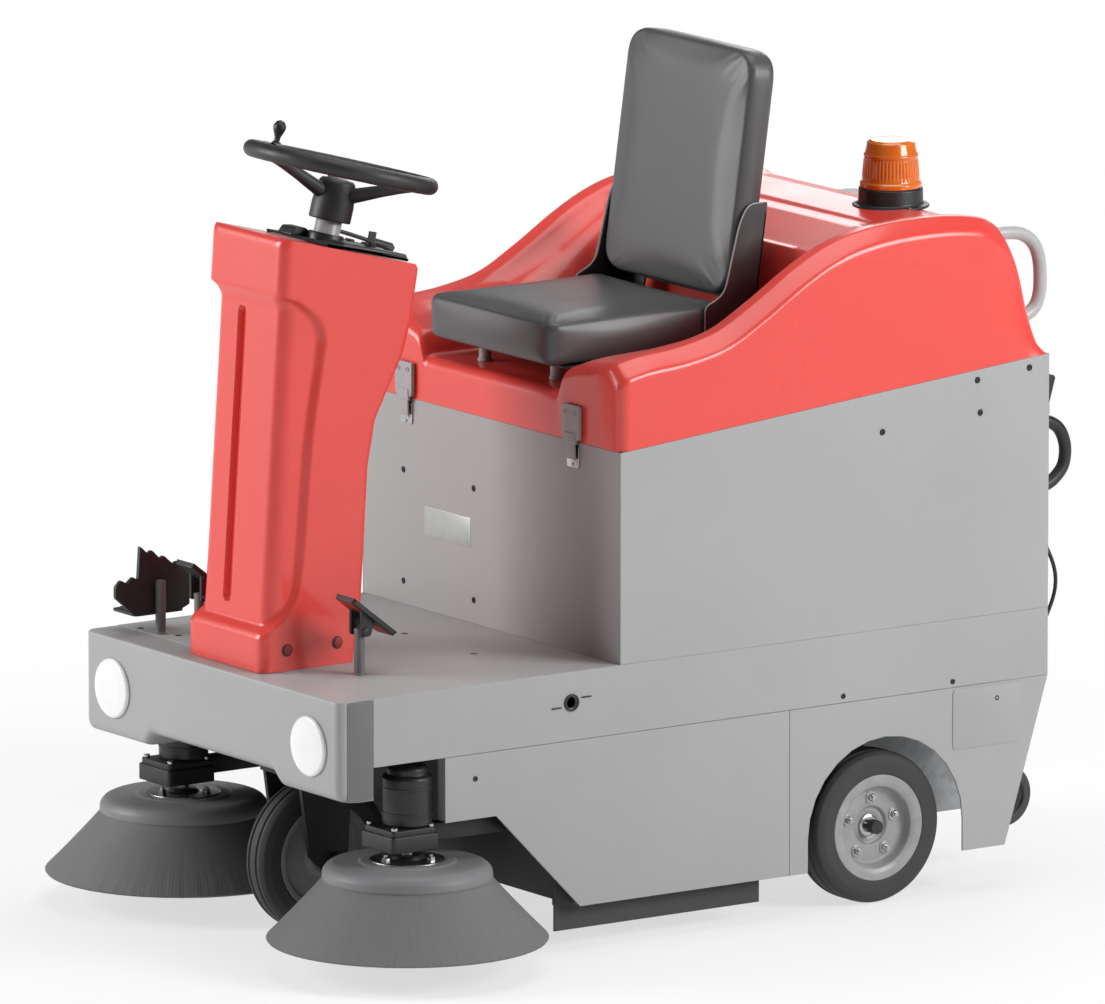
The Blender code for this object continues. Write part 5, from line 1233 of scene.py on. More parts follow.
# ---- pedals ----------------------------------------------------------------------
@dataclass
class Pedals:
    """Brake, accelerator and flap pedals.

    Attributes:
        lean: turn of the plates in degrees.
        brake: (x, distance, height) of the brake's pin.
        accelerator: the same of the accelerator.
        flap: the same of the flap pedal.
    """

    lean: float = -38.0
    brake: tuple = (0.200, 0.163, 0.548)
    accelerator: tuple = (-0.150, 0.078, 0.560)
    flap: tuple = (-0.290, 0.086, 0.560)

    def build(self) -> None:
        """Makes the three pedals."""
        self.plate("brake", self.brake, RED_INSERT_AND_RECESS_SHADE)
        self.plate("accelerator", self.accelerator, STRIP_RUBBER)
        x = self.flap[0]
        teeth = [(0.050, 0.625), (0.066, 0.611), (0.074, 0.616), (0.090, 0.600), (0.098, 0.604),
                 (0.116, 0.588), (0.125, 0.592), (0.149, 0.573), (0.149, 0.516), (0.128, 0.5075),
                 (0.040, 0.5075), (0.001, 0.541), (0.001, 0.560), (0.012, 0.571), (0.024, 0.564),
                 (0.036, 0.574), (0.046, 0.568)]
        side = slab("toothed", rounded(teeth, 0.003, 3), x - 0.004, x + 0.004, "side", 0.001)
        tread = box_piece("tread", (x - 0.070, 0.040, 0.5052), (x + 0.002, 0.140, 0.5098), 0.001, 0.010)
        ribs = [box_piece("rib", (x - 0.064, d, 0.5090), (x - 0.008, d + 0.006, 0.5122), 0.001, 0.002)
                for d in np.arange(0.052, 0.128, 0.018)]
        dress(join("flap_foot_pedal", [side, tread, *ribs]), BLACK_PAINT, "flap_lift", "flap_pedal")

    def plate(self, body: str, place: tuple, insert: Finish) -> None:
        """Rocking plate with a framed insert and lugs astride its post."""
        x, distance, height = place
        spot = (x, distance + 0.010, height + 0.021)
        face = turned_by(local_box("face", (-0.0265, -0.0535, 0.0004), (0.0265, 0.0535, 0.006),
                                   0.001, 0.006), spot, self.lean)
        frame = (((-0.0265, -0.0535), (0.0265, -0.0475)), ((-0.0265, 0.0475), (0.0265, 0.0535)),
                 ((-0.0265, -0.0535), (-0.0215, 0.0535)), ((0.0215, -0.0535), (0.0265, 0.0535)))
        rims = [turned_by(local_box("rim", (*low, 0.005), (*high, 0.0092), 0.001, 0.002),
                          spot, self.lean) for low, high in frame]
        lugs = []
        for _, side in SIDES:
            outline = rounded([(distance - 0.008, height - 0.008), (distance + 0.010, height - 0.008),
                               (distance + 0.020, height + 0.018), (distance - 0.008, height + 0.038)],
                              0.004)
            lugs.append(slab("lug", outline, x + side * 0.0127, x + side * 0.0184, "side", 0.0008))
            lugs.append(lathe("pin_head", plug(0.0065, 0.0, 0.003, 0.001),
                              (x + side * 0.0184, at(distance), height), (side, 0, 0), 20, 0.0008))
        dress(join(body + "_plate", [face, *rims, *lugs]), BLACK_PAINT, body, body + "_pedal")
        pads = [local_box("pad", (-0.0215, -0.0475, 0.0055), (0.0215, 0.0475, 0.0078), 0.0006, 0.003)]
        if insert is RED_INSERT_AND_RECESS_SHADE:
            pads += [local_box("patch", (-0.021, y, -0.0004), (0.021, y + 0.024, 0.0006), 0.0003, 0.003)
                     for y in (-0.049, 0.022)]
        pads += [local_box("rib", (-0.019, y, 0.0070), (0.019, y + 0.006, 0.0090), 0.0008, 0.002)
                 for y in np.arange(-0.043, 0.040, 0.0125)]
        dress(turned_by(join(body + "_insert", pads), spot, self.lean), insert, body)


# ---- wheels ----------------------------------------------------------------------
@dataclass
class Wheels:
    """Rear wheels, the front wheel and the hopper's casters.

    Attributes:
        radius: tyre radius.
        width: rear tyre width.
        face: outer face of a rear wheel.
        rear: distance of the rear axle.
        front: distance and height of the front axle.
        front_half: half the front tyre's width.
        bolt_circle: radius on which the wheel nuts sit.
        caster_place: (x, distance, height) of a caster's middle.
    """

    radius: float = 0.130
    width: float = 0.072
    face: float = 0.362
    rear: float = 1.106
    front: tuple = (0.212, 0.130)
    front_half: float = 0.030
    bolt_circle: float = 0.049
    caster_place: tuple = (0.232, 1.458, 0.123)

    def tyre(self, name: str, centre: Triple, half: float, axis: Triple) -> bpy.types.Object:
        """Tyre section with rounded shoulders, two tread grooves and a rim step."""
        r = self.radius
        profile = [(r * 0.69, half - 0.003), (r * 0.72, half - 0.001), (r * 0.86, half),
                   (r - 0.006, half - 0.004), (r - 0.0005, half - 0.012), (r, half * 0.42),
                   (r - 0.003, half * 0.40), (r - 0.003, half * 0.28), (r, half * 0.26),
                   (r, -half * 0.26), (r - 0.003, -half * 0.28), (r - 0.003, -half * 0.40),
                   (r, -half * 0.42), (r - 0.0005, -half + 0.012), (r - 0.006, -half + 0.004),
                   (r * 0.86, -half), (r * 0.69, -half + 0.003), (r * 0.69, half - 0.003)]
        return lathe(name, profile, centre, axis, 128, 0.0025)

    def build(self) -> None:
        """Makes every wheel."""
        for name, side in SIDES:
            centre = (side * (self.face - self.width / 2), at(self.rear), self.radius)
            self.rear_wheel(name, side, centre)
            self.bolts(name, side, centre)
            self.caster(name, side)
        self.front_wheel()

    def rear_wheel(self, name: str, side: float, centre: Triple) -> None:
        """Tyre and dished disc of a rear wheel."""
        axis, body = (side, 0, 0), "wheel_" + name
        tyre = self.tyre("tyre_" + name, centre, self.width / 2, axis)
        dress(tyre, TYRE_RUBBER, body, "rear_wheel_" + name)
        rim = [(0.0125, 0.004), (0.020, 0.004), (0.024, 0.006), (0.030, 0.006), (0.034, 0.012),
               (0.062, 0.012), (0.066, 0.016), (0.070, 0.0300), (0.078, 0.0335), (0.0885, 0.0350),
               (0.0905, 0.0345), (0.0905, -0.030), (0.060, -0.030), (0.030, -0.010),
               (0.0125, -0.030), (0.0125, 0.004)]
        dress(lathe("rim_" + name, rim, centre, axis, 96, 0.0022), RIM_PAINT, body)

    def bolts(self, name: str, side: float, centre: Triple) -> None:
        """Five wheel nuts with washers and studs, and the hub nut on the axle's end."""
        axis, pieces = (side, 0, 0), []
        nut = [(0.0, 0.001), (0.0075, 0.001), (0.0075, 0.0075), (0.0062, 0.009), (0.0, 0.009)]
        for index in range(5):
            angle = math.radians(90 + 72 * index)
            spot = (centre[0] + side * 0.0115, centre[1] + self.bolt_circle * math.cos(angle),
                    centre[2] + self.bolt_circle * math.sin(angle))
            pieces += [lathe("washer", plug(0.0105, 0.0, 0.002), spot, axis, 28, 0.0005),
                       lathe("nut", nut, spot, axis, 6, 0.0),
                       lathe("stud", plug(0.0038, 0.008, 0.012, 0.0005), spot, axis, 16)]
        hub = (centre[0] + side * 0.004, centre[1], centre[2])
        flange = [(0.0, 0.0), (0.019, 0.0), (0.019, 0.003), (0.0145, 0.0045), (0.0, 0.0045)]
        hexagon = [(0.0, 0.004), (0.0125, 0.004), (0.0125, 0.0125), (0.011, 0.0140), (0.0, 0.014)]
        end = [(0.0, 0.012), (0.0062, 0.012), (0.0062, 0.0215), (0.0050, 0.0225), (0.0, 0.0225)]
        pieces += [lathe("hub_nut", flange, hub, axis, 40, 0.0006),
                   lathe("hub_hex", hexagon, hub, axis, 6),
                   lathe("axle_end", end, hub, axis, 20)]
        dress(join("wheel_bolts_" + name, pieces), ZINC_STEEL, "wheel_" + name)

    def caster(self, name: str, side: float) -> None:
        """Tyre and rim of a caster under the hopper."""
        x, distance, height = self.caster_place
        centre = (side * x, at(distance), height)
        profile = ring_profile([(0.036, 0.0125), (0.0485, 0.013), (0.0535, 0.008)])
        tyre = lathe("caster_tyre", profile, centre, LEFT, 64, 0.0025)
        dress(tyre, STRIP_RUBBER, "caster_" + name, "hopper_caster_" + name)
        profile = ring_profile([(0.0065, 0.015), (0.018, 0.015), (0.021, 0.009), (0.033, 0.009),
                                (0.0365, 0.0122)])
        rim = lathe("caster_rim_" + name, profile, centre, LEFT, 48, 0.001)
        dress(rim, BLACK_MOULDED, "caster_" + name)

    def front_wheel(self) -> None:
        """Tyre and rim of the steered wheel."""
        centre = (0.0, at(self.front[0]), self.front[1])
        tyre = self.tyre("front_tyre", centre, self.front_half, LEFT)
        dress(tyre, TYRE_RUBBER, "front_wheel", "front_wheel")
        profile = ring_profile([(0.0125, 0.026), (0.030, 0.026), (0.034, 0.014), (0.074, 0.014),
                                (0.080, 0.026), (0.0905, 0.0285)])
        dress(lathe("front_rim", profile, centre, LEFT, 80, 0.002), RIM_PAINT, "front_wheel")


# ---- sweeping gear ---------------------------------------------------------------
@dataclass
class SideBrushes:
    """Disc brushes with their motors and arms.

    Attributes:
        x: distance of a spindle from the centre plane.
        distance: distance of the spindles behind the bumper's face.
        radius: reach of the bristles at the floor.
        floor: height of the bristles' lower rim.
        disc: radius of the disc where the bristles leave it.
        disc_top: height of the disc.
        hub_circle: radius on which the hub's bolts sit.
        gear_floor: height of the gear block's underside.
        motor_floor: height of the motor's underside.
    """

    x: float = 0.334
    distance: float = 0.167
    radius: float = 0.2340
    floor: float = 0.051
    disc: float = 0.137
    disc_top: float = 0.184
    hub_circle: float = 0.043
    gear_floor: float = 0.206
    motor_floor: float = 0.244

    def build(self) -> None:
        """Makes both units."""
        for name, side in SIDES:
            self.brush(name, (side * self.x, at(self.distance), 0.0))
            self.gear(name, side * self.x)

    def skirt(self, name: str, centre: Triple) -> bpy.types.Object:
        """Bristles: a cone that flares outwards, its radius rippled round the edge.

        The ripple grows with the square of the way down the strand, as tufts
        that stand close at the disc and part at the floor.
        """
        turn = np.arange(1080) * 2 * math.pi / 1080
        down = np.linspace(0.0, 1.0, 22)
        flare = self.radius - self.disc + 0.002
        outer = np.stack([self.disc - 0.002 + flare * (0.93 * down + 0.07 * down ** 2),
                          0.160 - (0.160 - self.floor - 0.003) * down], 1)
        under = np.array([(self.radius - 0.002, self.floor), (self.radius - 0.030, self.floor + 0.002),
                          (self.radius - 0.078, self.floor + 0.014), (0.085, 0.140)])
        line = np.vstack([outer, under])
        amount = np.concatenate([down ** 2, [1.0, 0.8, 0.4, 0.0]])[:, None]
        ripple = (0.00008 * np.cos(turn * 90) + 0.00010 * np.cos(turn * 233 + 1.0)
                  + 0.00015 * np.cos(turn * 41 + 2.0))[None, :] * amount
        reach = line[:, :1] + ripple
        grid = np.stack([reach * np.cos(turn) + centre[0], reach * np.sin(turn) + centre[1],
                         np.broadcast_to(line[:, 1:], reach.shape) + 0.6 * ripple], -1)
        return surface(name, grid, wrap=True, caps=True, sharp=70.0)

    def brush(self, name: str, centre: Triple) -> None:
        """Bristle skirt, moulded disc, hub plate with bolts and spindle."""
        body, top = "brush_" + name, self.disc_top
        dress(self.skirt("bristles_" + name, centre), NYLON_BRISTLE, body, "side_brush_" + name)
        disc = lathe("disc_" + name, [(0.0, top - 0.002), (0.058, top - 0.002), (0.064, top + 0.0005),
                                      (0.078, top + 0.0005), (0.082, top - 0.002), (0.124, top - 0.003),
                                      (0.134, top - 0.007), (0.1410, top - 0.016),
                                      (0.1420, top - 0.030), (0.134, top - 0.034), (0.0, top - 0.034)],
                     centre, UP, 128, 0.004)
        dress(disc, DISC_PLASTIC, body)
        plate = [lathe("hub_plate", [(0.0, top - 0.001), (0.0625, top - 0.001), (0.0625, top + 0.0022),
                                     (0.030, top + 0.003), (0.024, top + 0.010), (0.0, top + 0.010)],
                       centre, UP, 64, 0.001),
                 lathe("spindle", plug(0.0098, top + 0.009, 0.230), centre, UP, 32)]
        for index in range(3):
            angle = math.radians(30 + 120 * index)
            spot = (centre[0] + self.hub_circle * math.cos(angle),
                    centre[1] + self.hub_circle * math.sin(angle), top + 0.002)
            plate.append(lathe("bolt", [(0.0, 0.0), (0.0075, 0.0), (0.0075, 0.006), (0.0064, 0.0072),
                                        (0.0, 0.0072)], spot, UP, 6))
            plate.append(lathe("stud", plug(0.0036, 0.0, 0.0115, 0.0005), spot, UP, 14))
        dress(join("brush_hub_" + name, plate), ZINC_STEEL, body)

    def gear(self, name: str, x: float) -> None:
        """Gear block with its cap plate and bolts, the arm to the hinge, and the motor."""
        d, z = self.distance, self.gear_floor
        motor_place = (x, at(d), self.motor_floor)
        arm = [box_piece("block", (x - 0.0475, d - 0.0615, z + 0.0005),
                         (x + 0.0475, d + 0.0335, z + 0.028), 0.002, 0.008),
               box_piece("cap", (x - 0.0440, d - 0.0580, z + 0.0275),
                         (x + 0.0440, d + 0.0300, z + 0.0378), 0.0015, 0.008)]
        bar = rounded([(d + 0.020, z + 0.006), (0.372, z + 0.006), (0.415, 0.289), (0.415, 0.311),
                       (0.389, 0.311), (0.352, z + 0.036), (d + 0.020, z + 0.036)], 0.006, 4)
        arm.append(slab("bar", bar, x - 0.0115, x + 0.0115, "side", 0.0012))
        dress(join("brush_gear_" + name, arm), BLACK_PAINT, "arm_" + name, "brush_arm_" + name)
        motor = [lathe("can", [(0.0, 0.100), (0.030, 0.100), (0.034, 0.096), (0.034, 0.086),
                               (0.040, 0.083), (0.0418, 0.080), (0.0418, 0.004), (0.040, 0.0003),
                               (0.0, 0.0003)], motor_place, UP, 64, 0.0015)]
        motor += [lathe("band", plug(0.0430, h, h + 0.004), motor_place, UP, 48, 0.001)
                  for h in (0.020, 0.062)]
        dress(join("motor_can_" + name, motor), BLACK_MOULDED, "arm_" + name, "brush_motor_" + name)
        bolts = [lathe("cap_bolt", plug(0.0055, 0.0, 0.005),
                       (x + dx, at(d) + dy, z + 0.0378), UP, 18, 0.0006)
                 for dx in (-0.036, 0.036) for dy in (-0.050, 0.022)]
        dress(join("gear_bolts_" + name, bolts), ZINC_STEEL, "arm_" + name)


@dataclass
class Broom:
    """Main roller broom on its shaft.

    Attributes:
        distance: distance of the axis.
        height: height of the axis.
        radius: reach of the bristles.
        half: half the roller's length.
    """

    distance: float = 0.660
    height: float = 0.154
    radius: float = 0.130
    half: float = 0.339

    def build(self) -> None:
        """Spiral roller: the radius rises and falls round the axis and twists along it."""
        turn = np.arange(360) * 2 * math.pi / 360
        along = np.linspace(-self.half, self.half, 90)[:, None]
        wave = np.cos(8 * turn[None, :] + along * 9.0)
        radius = self.radius - 0.010 * (0.5 - 0.5 * wave) - 0.0012 * (0.5 - 0.5 * np.cos(turn * 120))
        grid = np.stack([np.broadcast_to(along, radius.shape),
                         at(self.distance) + radius * np.cos(turn),
                         self.height + radius * np.sin(turn)], -1)
        roller = surface("roller", grid, wrap=True, caps=True, sharp=70.0)
        dress(roller, NYLON_BRISTLE, "broom", "main_broom")
        shaft = lathe("broom_shaft", plug(0.0118, -0.348, 0.348),
                      (0.0, at(self.distance), self.height), LEFT, 32, 0.001)
        dress(shaft, ZINC_STEEL, "broom")


# ---- fittings --------------------------------------------------------------------
@dataclass
class Beacon:
    """Amber flashing lamp on its foot, on the hood's plateau.

    Attributes:
        x: distance of the axis from the centre plane.
        distance: distance of the axis.
        floor: height of the plateau under the foot.
    """

    x: float = 0.100
    distance: float = 1.315
    floor: float = 1.1323

    def build(self) -> None:
        """Turned foot, flange screw and fluted lens."""
        place = (self.x, at(self.distance), self.floor)
        foot = lathe("beacon_foot", [(0.0, 0.034), (0.052, 0.034), (0.0545, 0.032), (0.0550, 0.008),
                                     (0.0575, 0.0055), (0.0655, 0.0045), (0.0655, 0.0), (0.0, 0.0)],
                     place, UP, 96, 0.002)
        dress(foot, BLACK_MOULDED, "hood", "beacon_base")
        lift = (self.x, at(self.distance), self.floor + 0.0343)
        turn = np.arange(288) * 2 * math.pi / 288
        profile = fillet([(0.0, 0.0), (0.0525, 0.0), (0.0525, 0.0075), (0.0490, 0.0105),
                          (0.0482, 0.018), (0.0455, 0.050), (0.0462, 0.0525), (0.0462, 0.0555),
                          (0.0445, 0.058), (0.0405, 0.076), (0.034, 0.0800), (0.0, 0.0808)],
                         0.0012, 3, [0, 0, 0, 0, 8, 0, 0, 0, 3, 0, 3, 0])
        fluted = smoothstep(0.014, 0.020, profile[:, 1]) * (1 - smoothstep(0.046, 0.050, profile[:, 1]))
        radius = profile[:, :1] + 0.0006 * fluted[:, None] * np.cos(48 * turn)
        grid = np.stack([radius * np.cos(turn) + lift[0], radius * np.sin(turn) + lift[1],
                         np.broadcast_to(profile[:, 1:], radius.shape) + lift[2]], -1)
        dress(surface("beacon_dome", grid, wrap=True, sharp=50.0), AMBER_LENS, "hood", "beacon_lens")
        screw = lathe("flange_screw", plug(0.0035, 0.0, 0.0012, 0.0008),
                      (self.x + 0.060, at(self.distance) - 0.004, self.floor + 0.0045), UP, 18)
        dress(screw, ZINC_STEEL, "hood")


@dataclass
class Grips:
    """Bent tube grips behind the hood and the handle, lever and lead on the rear panel.

    Attributes:
        x: distance of a grip from the centre plane.
        rear: distance of the rear panel's face.
        fitting_x: x of the rear panel's fittings.
        loop: (offset behind the panel, height) along a grip.
    """

    x: float = 0.230
    rear: float = 1.442
    fitting_x: float = 0.345
    loop: tuple = ((-0.072, 1.086), (-0.012, 1.090), (0.028, 1.090), (0.055, 1.084), (0.077, 1.066),
                   (0.088, 1.040), (0.091, 1.005), (0.088, 0.975), (0.077, 0.955), (0.056, 0.944),
                   (0.028, 0.941), (-0.036, 0.941))

    def build(self) -> None:
        """Makes the grips, the rear bow, the lead and the lock lever."""
        for name, side in SIDES:
            path = [(side * self.x, at(self.rear + offset), z) for offset, z in self.loop]
            dress(tube("grip_tube_" + name, path, 0.0115, LEFT, 24, 90), TUBE_COAT, "hood",
                  "hood_handle_" + name)
        x, wall = self.fitting_x, self.rear + 0.0003
        bow = [(x, at(wall), 0.784), (x, at(wall + 0.024), 0.784), (x, at(wall + 0.048), 0.768),
               (x, at(wall + 0.060), 0.738), (x, at(wall + 0.056), 0.706), (x, at(wall + 0.036), 0.684),
               (x, at(wall + 0.014), 0.674), (x, at(wall), 0.674)]
        pieces = [tube("bow", bow, 0.0108, LEFT, 24, 60)]
        pieces += [lathe("flange", plug(0.0165, 0.0, 0.003, 0.001), (x, at(wall), z), BEHIND,
                         32, 0.001) for z in (0.784, 0.674)]
        dress(join("rear_bow", pieces), BLACK_MOULDED, "chassis", "rear_handle")
        step = np.arange(1, 12) / 12
        wire = [(x, at(wall), 0.600), (x, at(wall + 0.006), 0.600)]
        wire += [(x, at(wall + 0.010 + 0.032 * math.sin(math.pi * s) ** 1.2),
                  0.594 - 0.170 * s) for s in step]
        wire += [(x, at(wall + 0.006), 0.418), (x, at(wall), 0.418)]
        dress(tube("rear_wire", wire, 0.0034, LEFT, 14, 80), BLACK_MOULDED, "chassis", "rear_lead")
        pivot = (self.rear + 0.0105, 0.808)
        blade = rounded([(pivot[0] - 0.0072, pivot[1]), (pivot[0] - 0.004, pivot[1] - 0.0065),
                         (pivot[0] + 0.004, pivot[1] - 0.0065), (pivot[0] + 0.0085, pivot[1] + 0.002),
                         (pivot[0] + 0.0235, pivot[1] + 0.053), (pivot[0] + 0.017, pivot[1] + 0.0575),
                         (pivot[0] + 0.010, pivot[1] + 0.0575)], 0.004, 5)
        dress(slab("lock_blade", blade, x - 0.0098, x + 0.0098, "side", 0.0022, 4), BLACK_MOULDED,
              "lock_lever", "hopper_lever")


@dataclass
class Latches:
    """Toggle latches across the seam between hood and front panel.

    Attributes:
        x: distance of a latch from the centre plane.
        face: distance of the panel's face.
        seam: height of the seam.
    """

    x: float = 0.246
    face: float = 0.5627
    seam: float = 0.831

    def build(self) -> None:
        """Lever plate with cover, claw, bar and rivets, over a catch plate with its lip."""
        for name, side in SIDES:
            x, f, s = side * self.x, self.face, self.seam
            plate = slab("plate", rounded([(x - 0.0225, s + 0.004), (x + 0.0225, s + 0.004),
                                           (x + 0.0250, s + 0.012), (x + 0.0250, s + 0.062),
                                           (x - 0.0250, s + 0.062), (x - 0.0250, s + 0.012)], 0.004),
                         f - 0.0085, f - 0.0012, "front", 0.0010)
            cover = slab("cover", rounded([(x - 0.0180, s - 0.003), (x + 0.0180, s - 0.003),
                                           (x + 0.0155, s + 0.016), (x - 0.0155, s + 0.016)],
                                          0.003), f - 0.0098, f - 0.0050, "front", 0.0010)
            claw = slab("claw", rounded([(x - 0.0145, s - 0.029), (x + 0.0145, s - 0.029),
                                         (x + 0.0125, s + 0.008), (x - 0.0125, s + 0.008)],
                                        0.005), f - 0.0084, f - 0.0052, "front", 0.0008)
            bar = tube("bar", [(x - 0.0165, at(f - 0.0060), s + 0.003),
                               (x + 0.0165, at(f - 0.0060), s + 0.003)], 0.0028, BEHIND, 16)
            head = [(0.0, 0.0), (0.0046, 0.0), (0.0042, 0.0012), (0.0026, 0.0012), (0.0022, 0.0001),
                    (0.0, 0.0001)]
            rivets = [lathe("rivet", head, (x + dx, at(f - 0.0085), s + 0.0500), AHEAD, 20)
                      for dx in (-0.013, 0.013)]
            dress(join("latch_plate_" + name, [plate, cover, claw, bar, *rivets]), DULL_ZINC,
                  "latch_" + name, "latch_lever_" + name)
            catch = slab("catch", rounded(oblong(x - 0.0175, s - 0.0445, x + 0.0175, s - 0.0065),
                                          0.004), f - 0.0024, f - 0.0003, "front", 0.0006)
            lip = slab("lip", rounded(oblong(x - 0.010, s - 0.034, x + 0.010, s - 0.029), 0.001),
                       f - 0.0040, f - 0.002, "front", 0.0006)
            rivet = lathe("rivet", [(0.0, 0.0), (0.0034, 0.0), (0.0026, 0.0016), (0.0, 0.0020)],
                          (x, at(f - 0.0024), s - 0.0395), AHEAD, 20)
            dress(join("latch_keeper_" + name, [catch, lip, rivet]), ZINC_STEEL, "chassis",
                  "latch_catch_" + name)


@dataclass
class Fasteners:
    """Screws, the bare plate, the hatches and the lock rings on the panels.

    Attributes:
        half: half the width across the side panels.
        front: distance of the front panel's face.
        side_screws: (distance, height) on both side panels.
        skirt_screws: (distance, height) on both side skirts.
        front_screws: (x, height) on the front panel.
        plate: the bare plate's rectangle (x, height, x, height).
        hatch: a hatch's rectangle (distance, height, distance, height).
        lock: (distance, height) of a lock ring.
    """

    half: float = 0.381
    front: float = 0.5637
    side_screws: tuple = ((1.401, 0.888), (1.293, 0.878), (1.299, 0.822), (1.097, 0.810))
    skirt_screws: tuple = ((1.018, 0.369), (1.244, 0.368), (0.271, 0.316), (1.336, 0.330))
    front_screws: tuple = ((-0.258, 0.705), (-0.049, 0.705), (-0.258, 0.514), (-0.049, 0.514))
    plate: tuple = (-0.195, 0.603, -0.058, 0.653)
    hatch: tuple = (1.244, 0.250, 1.386, 0.353)
    lock: tuple = (0.464, 0.422)

    @staticmethod
    def screw(place: Triple, axis: Triple, radius: float) -> bpy.types.Object:
        """Socket screw: domed rim round a sunk hexagon."""
        return lathe("screw", [(0.0, 0.0), (radius, 0.0), (radius, 0.0010), (radius * 0.8, 0.0020),
                               (radius * 0.55, 0.0020), (radius * 0.5, 0.0004), (0.0, 0.0004)],
                     place, axis, 24, 0.0003)

    def build(self) -> None:
        """Sets the fasteners."""
        dark = [self.screw((side * self.half, at(d), z), (side, 0, 0), 0.0050)
                for _, side in SIDES for d, z in self.side_screws]
        dark += [self.screw((side * self.half, at(d), z), (side, 0, 0), 0.0046)
                 for _, side in SIDES for d, z in self.skirt_screws]
        dark += [self.screw((x, at(self.front), z), AHEAD, 0.0046) for x, z in self.front_screws]
        dress(join("panel_screws", dark), BLACK_PAINT, "chassis")
        plate = slab("bare_plate", rounded(oblong(*self.plate), 0.003),
                     self.front - 0.0011, self.front, "front", 0.0004)
        dress(plate, BARE_PLATE, "chassis")
        distance, height = self.lock
        for name, side in SIDES:
            hatch = slab("hatch_" + name, rounded(oblong(*self.hatch), 0.008),
                         side * self.half, side * (self.half + 0.0012), "side", 0.0005)
            dress(hatch, GREY_COAT, "chassis")
            ring = lathe("ring", [(0.0105, 0.0), (0.0145, 0.0), (0.0145, 0.0030), (0.0105, 0.0030),
                                  (0.0105, 0.0)],
                         (side * self.half, at(distance), height), (side, 0, 0), 48, 0.0008)
            bars = [turned_by(local_box("bar", (-0.0003, -0.010, -0.0012), (0.0020, 0.010, 0.0012),
                                        0.0005, 0.001, "side"),
                              (side * self.half, distance + shift, height + shift * 0.22))
                    for shift in (-0.030, 0.030)]
            dress(join("lock_ring_" + name, [ring, *bars]), BLACK_PAINT, "chassis")


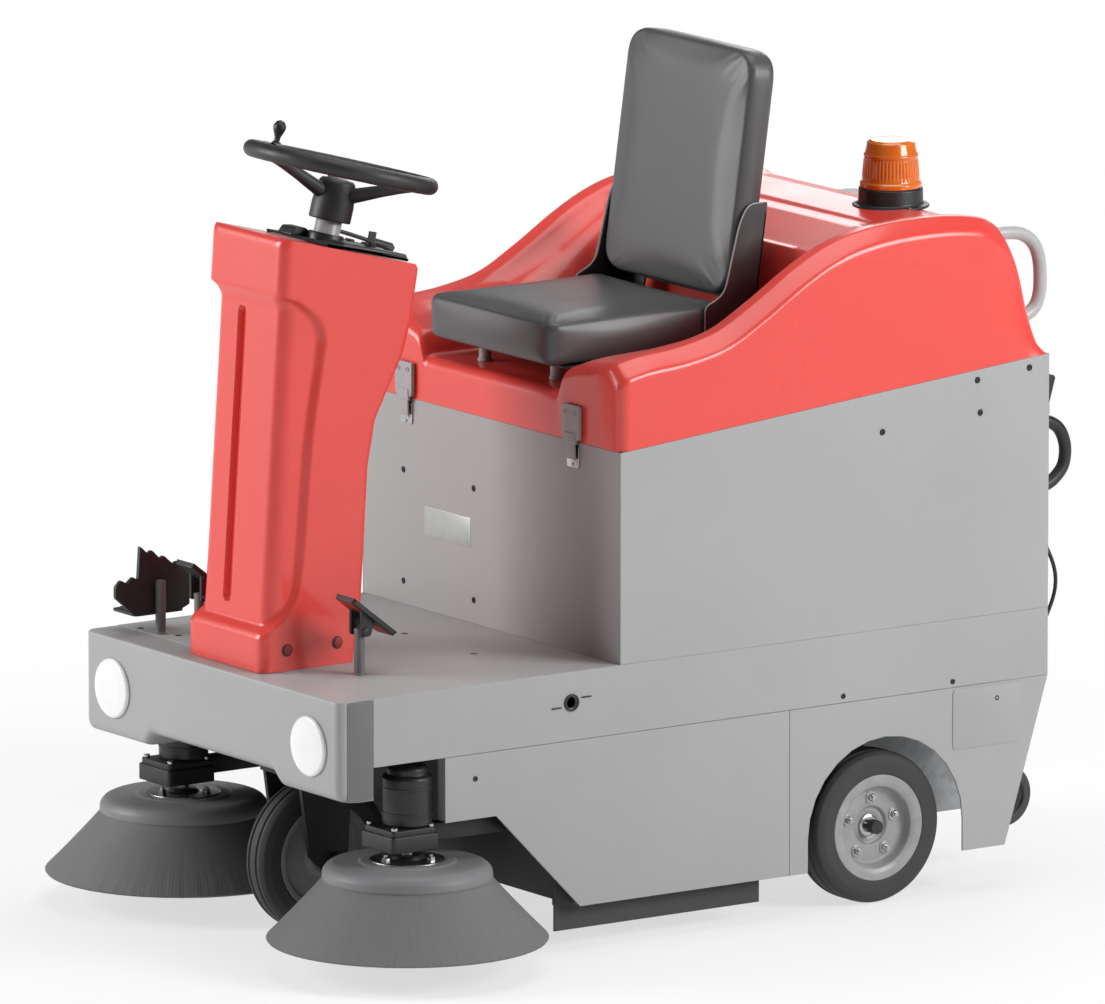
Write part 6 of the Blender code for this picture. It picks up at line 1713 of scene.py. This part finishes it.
# ---- camera, light and stage -----------------------------------------------------
@dataclass
class Studio:
    """Camera, lamps, floor and backdrop.

    Attributes:
        place: the camera's position.
        turn: its rotation in degrees.
        lens: its focal length in millimetres.
        floor_half: half the floor's width.
        floor_level: its height, just under the tyres.
    """

    place: tuple = (23.716, -16.480, 6.174)
    turn: tuple = (79.21, 0.0, 55.29)
    lens: float = 570.4
    floor_half: float = 30.0
    floor_level: float = -0.001

    def camera(self) -> None:
        """A long lens from the front left of the machine."""
        data = bpy.data.cameras.new("camera")
        data.lens, data.sensor_width, data.sensor_fit = self.lens, 36.0, 'HORIZONTAL'
        data.clip_end = 200.0
        camera = bpy.data.objects.new("camera", data)
        camera.location = self.place
        camera.rotation_euler = tuple(math.radians(a) for a in self.turn)
        bpy.context.scene.collection.objects.link(camera)
        bpy.context.scene.camera = camera

    @staticmethod
    def lamp(name: str, place: Triple, target: Triple, size: float, power: float) -> None:
        """A square area light aimed at a target."""
        data = bpy.data.lights.new(name, 'AREA')
        data.shape, data.size, data.energy = 'SQUARE', size, power
        light = bpy.data.objects.new(name, data)
        light.location = place
        light.rotation_euler = (Vector(target) - Vector(place)).to_track_quat('-Z', 'Y').to_euler()
        bpy.context.scene.collection.objects.link(light)

    def lights(self) -> None:
        """Soft key from the machine's left, broad top light, weak fill from the front."""
        middle = (0.0, 0.0, 0.6)
        self.lamp("key", (4.9, 2.9, 3.0), middle, 2.6, 268.0)
        self.lamp("top", (0.3, 0.6, 5.2), middle, 3.4, 100.0)
        self.lamp("front", (-3.4, -5.0, 2.6), middle, 3.0, 300.0)
        self.lamp("rear", (-3.5, 4.0, 3.0), middle, 2.5, 60.0)

    @staticmethod
    def pale(name: str, share: float) -> bpy.types.Material:
        """Matt pale material that shows white to the camera, mirrors and glass."""
        material = bpy.data.materials.new(name)
        material.use_nodes = True
        tree = material.node_tree
        shader = tree.nodes["Principled BSDF"]
        shader.inputs["Base Color"].default_value = linear("#f4f4f4")
        shader.inputs["Roughness"].default_value = 0.9
        path = add_node(tree, "ShaderNodeLightPath")
        seen = add_node(tree, "ShaderNodeMath", {"operation": 'MAXIMUM'},
                        {0: path.outputs["Is Camera Ray"], 1: path.outputs["Is Glossy Ray"]})
        also = add_node(tree, "ShaderNodeMath", {"operation": 'MAXIMUM'},
                        {0: seen.outputs[0], 1: path.outputs["Is Transmission Ray"]})
        # the floor keeps its shadow near the machine and is plain white beyond
        spot = add_node(tree, "ShaderNodeTexCoord")
        away = add_node(tree, "ShaderNodeVectorMath", {"operation": 'LENGTH'},
                        {0: spot.outputs["Object"]})
        fade = add_node(tree, "ShaderNodeMapRange", {"From Min": 1.1, "From Max": 2.6, "To Min": share,
                                                     "To Max": 1.0, "interpolation_type": 'SMOOTHSTEP'},
                        {"Value": away.outputs["Value"]})
        part = add_node(tree, "ShaderNodeMath", {"operation": 'MULTIPLY'},
                        {0: also.outputs[0], 1: fade.outputs["Result"]})
        glow = add_node(tree, "ShaderNodeEmission", {"Strength": 1.0})
        blend = add_node(tree, "ShaderNodeMixShader", None,
                         {0: part.outputs[0], 1: shader.outputs[0], 2: glow.outputs[0]})
        tree.links.new(blend.outputs[0], tree.nodes["Material Output"].inputs["Surface"])
        return material

    def stage(self) -> None:
        """Floor plate with a faint shadow, and a world that is white to the camera."""
        half, level = self.floor_half, self.floor_level
        floor = surface("floor", np.array([[[x, y, level] for x in (-half, half)] for y in (-half, half)]))
        floor.data.materials.append(self.pale("pale_floor", 0.66))
        world = bpy.data.worlds.new("studio")
        world.use_nodes = True
        tree = world.node_tree
        soft = tree.nodes["Background"]
        soft.inputs["Color"].default_value = linear("#c8cacd")
        soft.inputs["Strength"].default_value = 0.27
        white = add_node(tree, "ShaderNodeBackground", {"Strength": 1.0})
        white.inputs["Color"].default_value = (1.0, 1.0, 1.0, 1.0)
        path = add_node(tree, "ShaderNodeLightPath")
        seen = add_node(tree, "ShaderNodeMath", {"operation": 'MAXIMUM'},
                        {0: path.outputs["Is Camera Ray"], 1: path.outputs["Is Transmission Ray"]})
        blend = add_node(tree, "ShaderNodeMixShader", None,
                         {0: seen.outputs[0], 1: soft.outputs[0], 2: white.outputs[0]})
        tree.links.new(blend.outputs[0], tree.nodes["World Output"].inputs["Surface"])
        scene = bpy.context.scene
        scene.world = world
        scene.view_settings.view_transform = 'Standard'

    def build(self) -> None:
        """Sets up the studio."""
        self.camera()
        self.lights()
        self.stage()


def main() -> None:
    """Builds the classes in order."""
    logging.basicConfig(level=logging.INFO, format="%(name)s: %(message)s")
    global FRAME
    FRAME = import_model()
    for part in (Panels(), Hood(), Column(), Bumper(), Seat(), Steering(), Pedals(), Wheels(),
                 SideBrushes(), Broom(), Beacon(), Grips(), Latches(), Fasteners(), Studio()):
        part.build()
    bpy.context.view_layer.update()


if __name__ == "__main__":
    main()
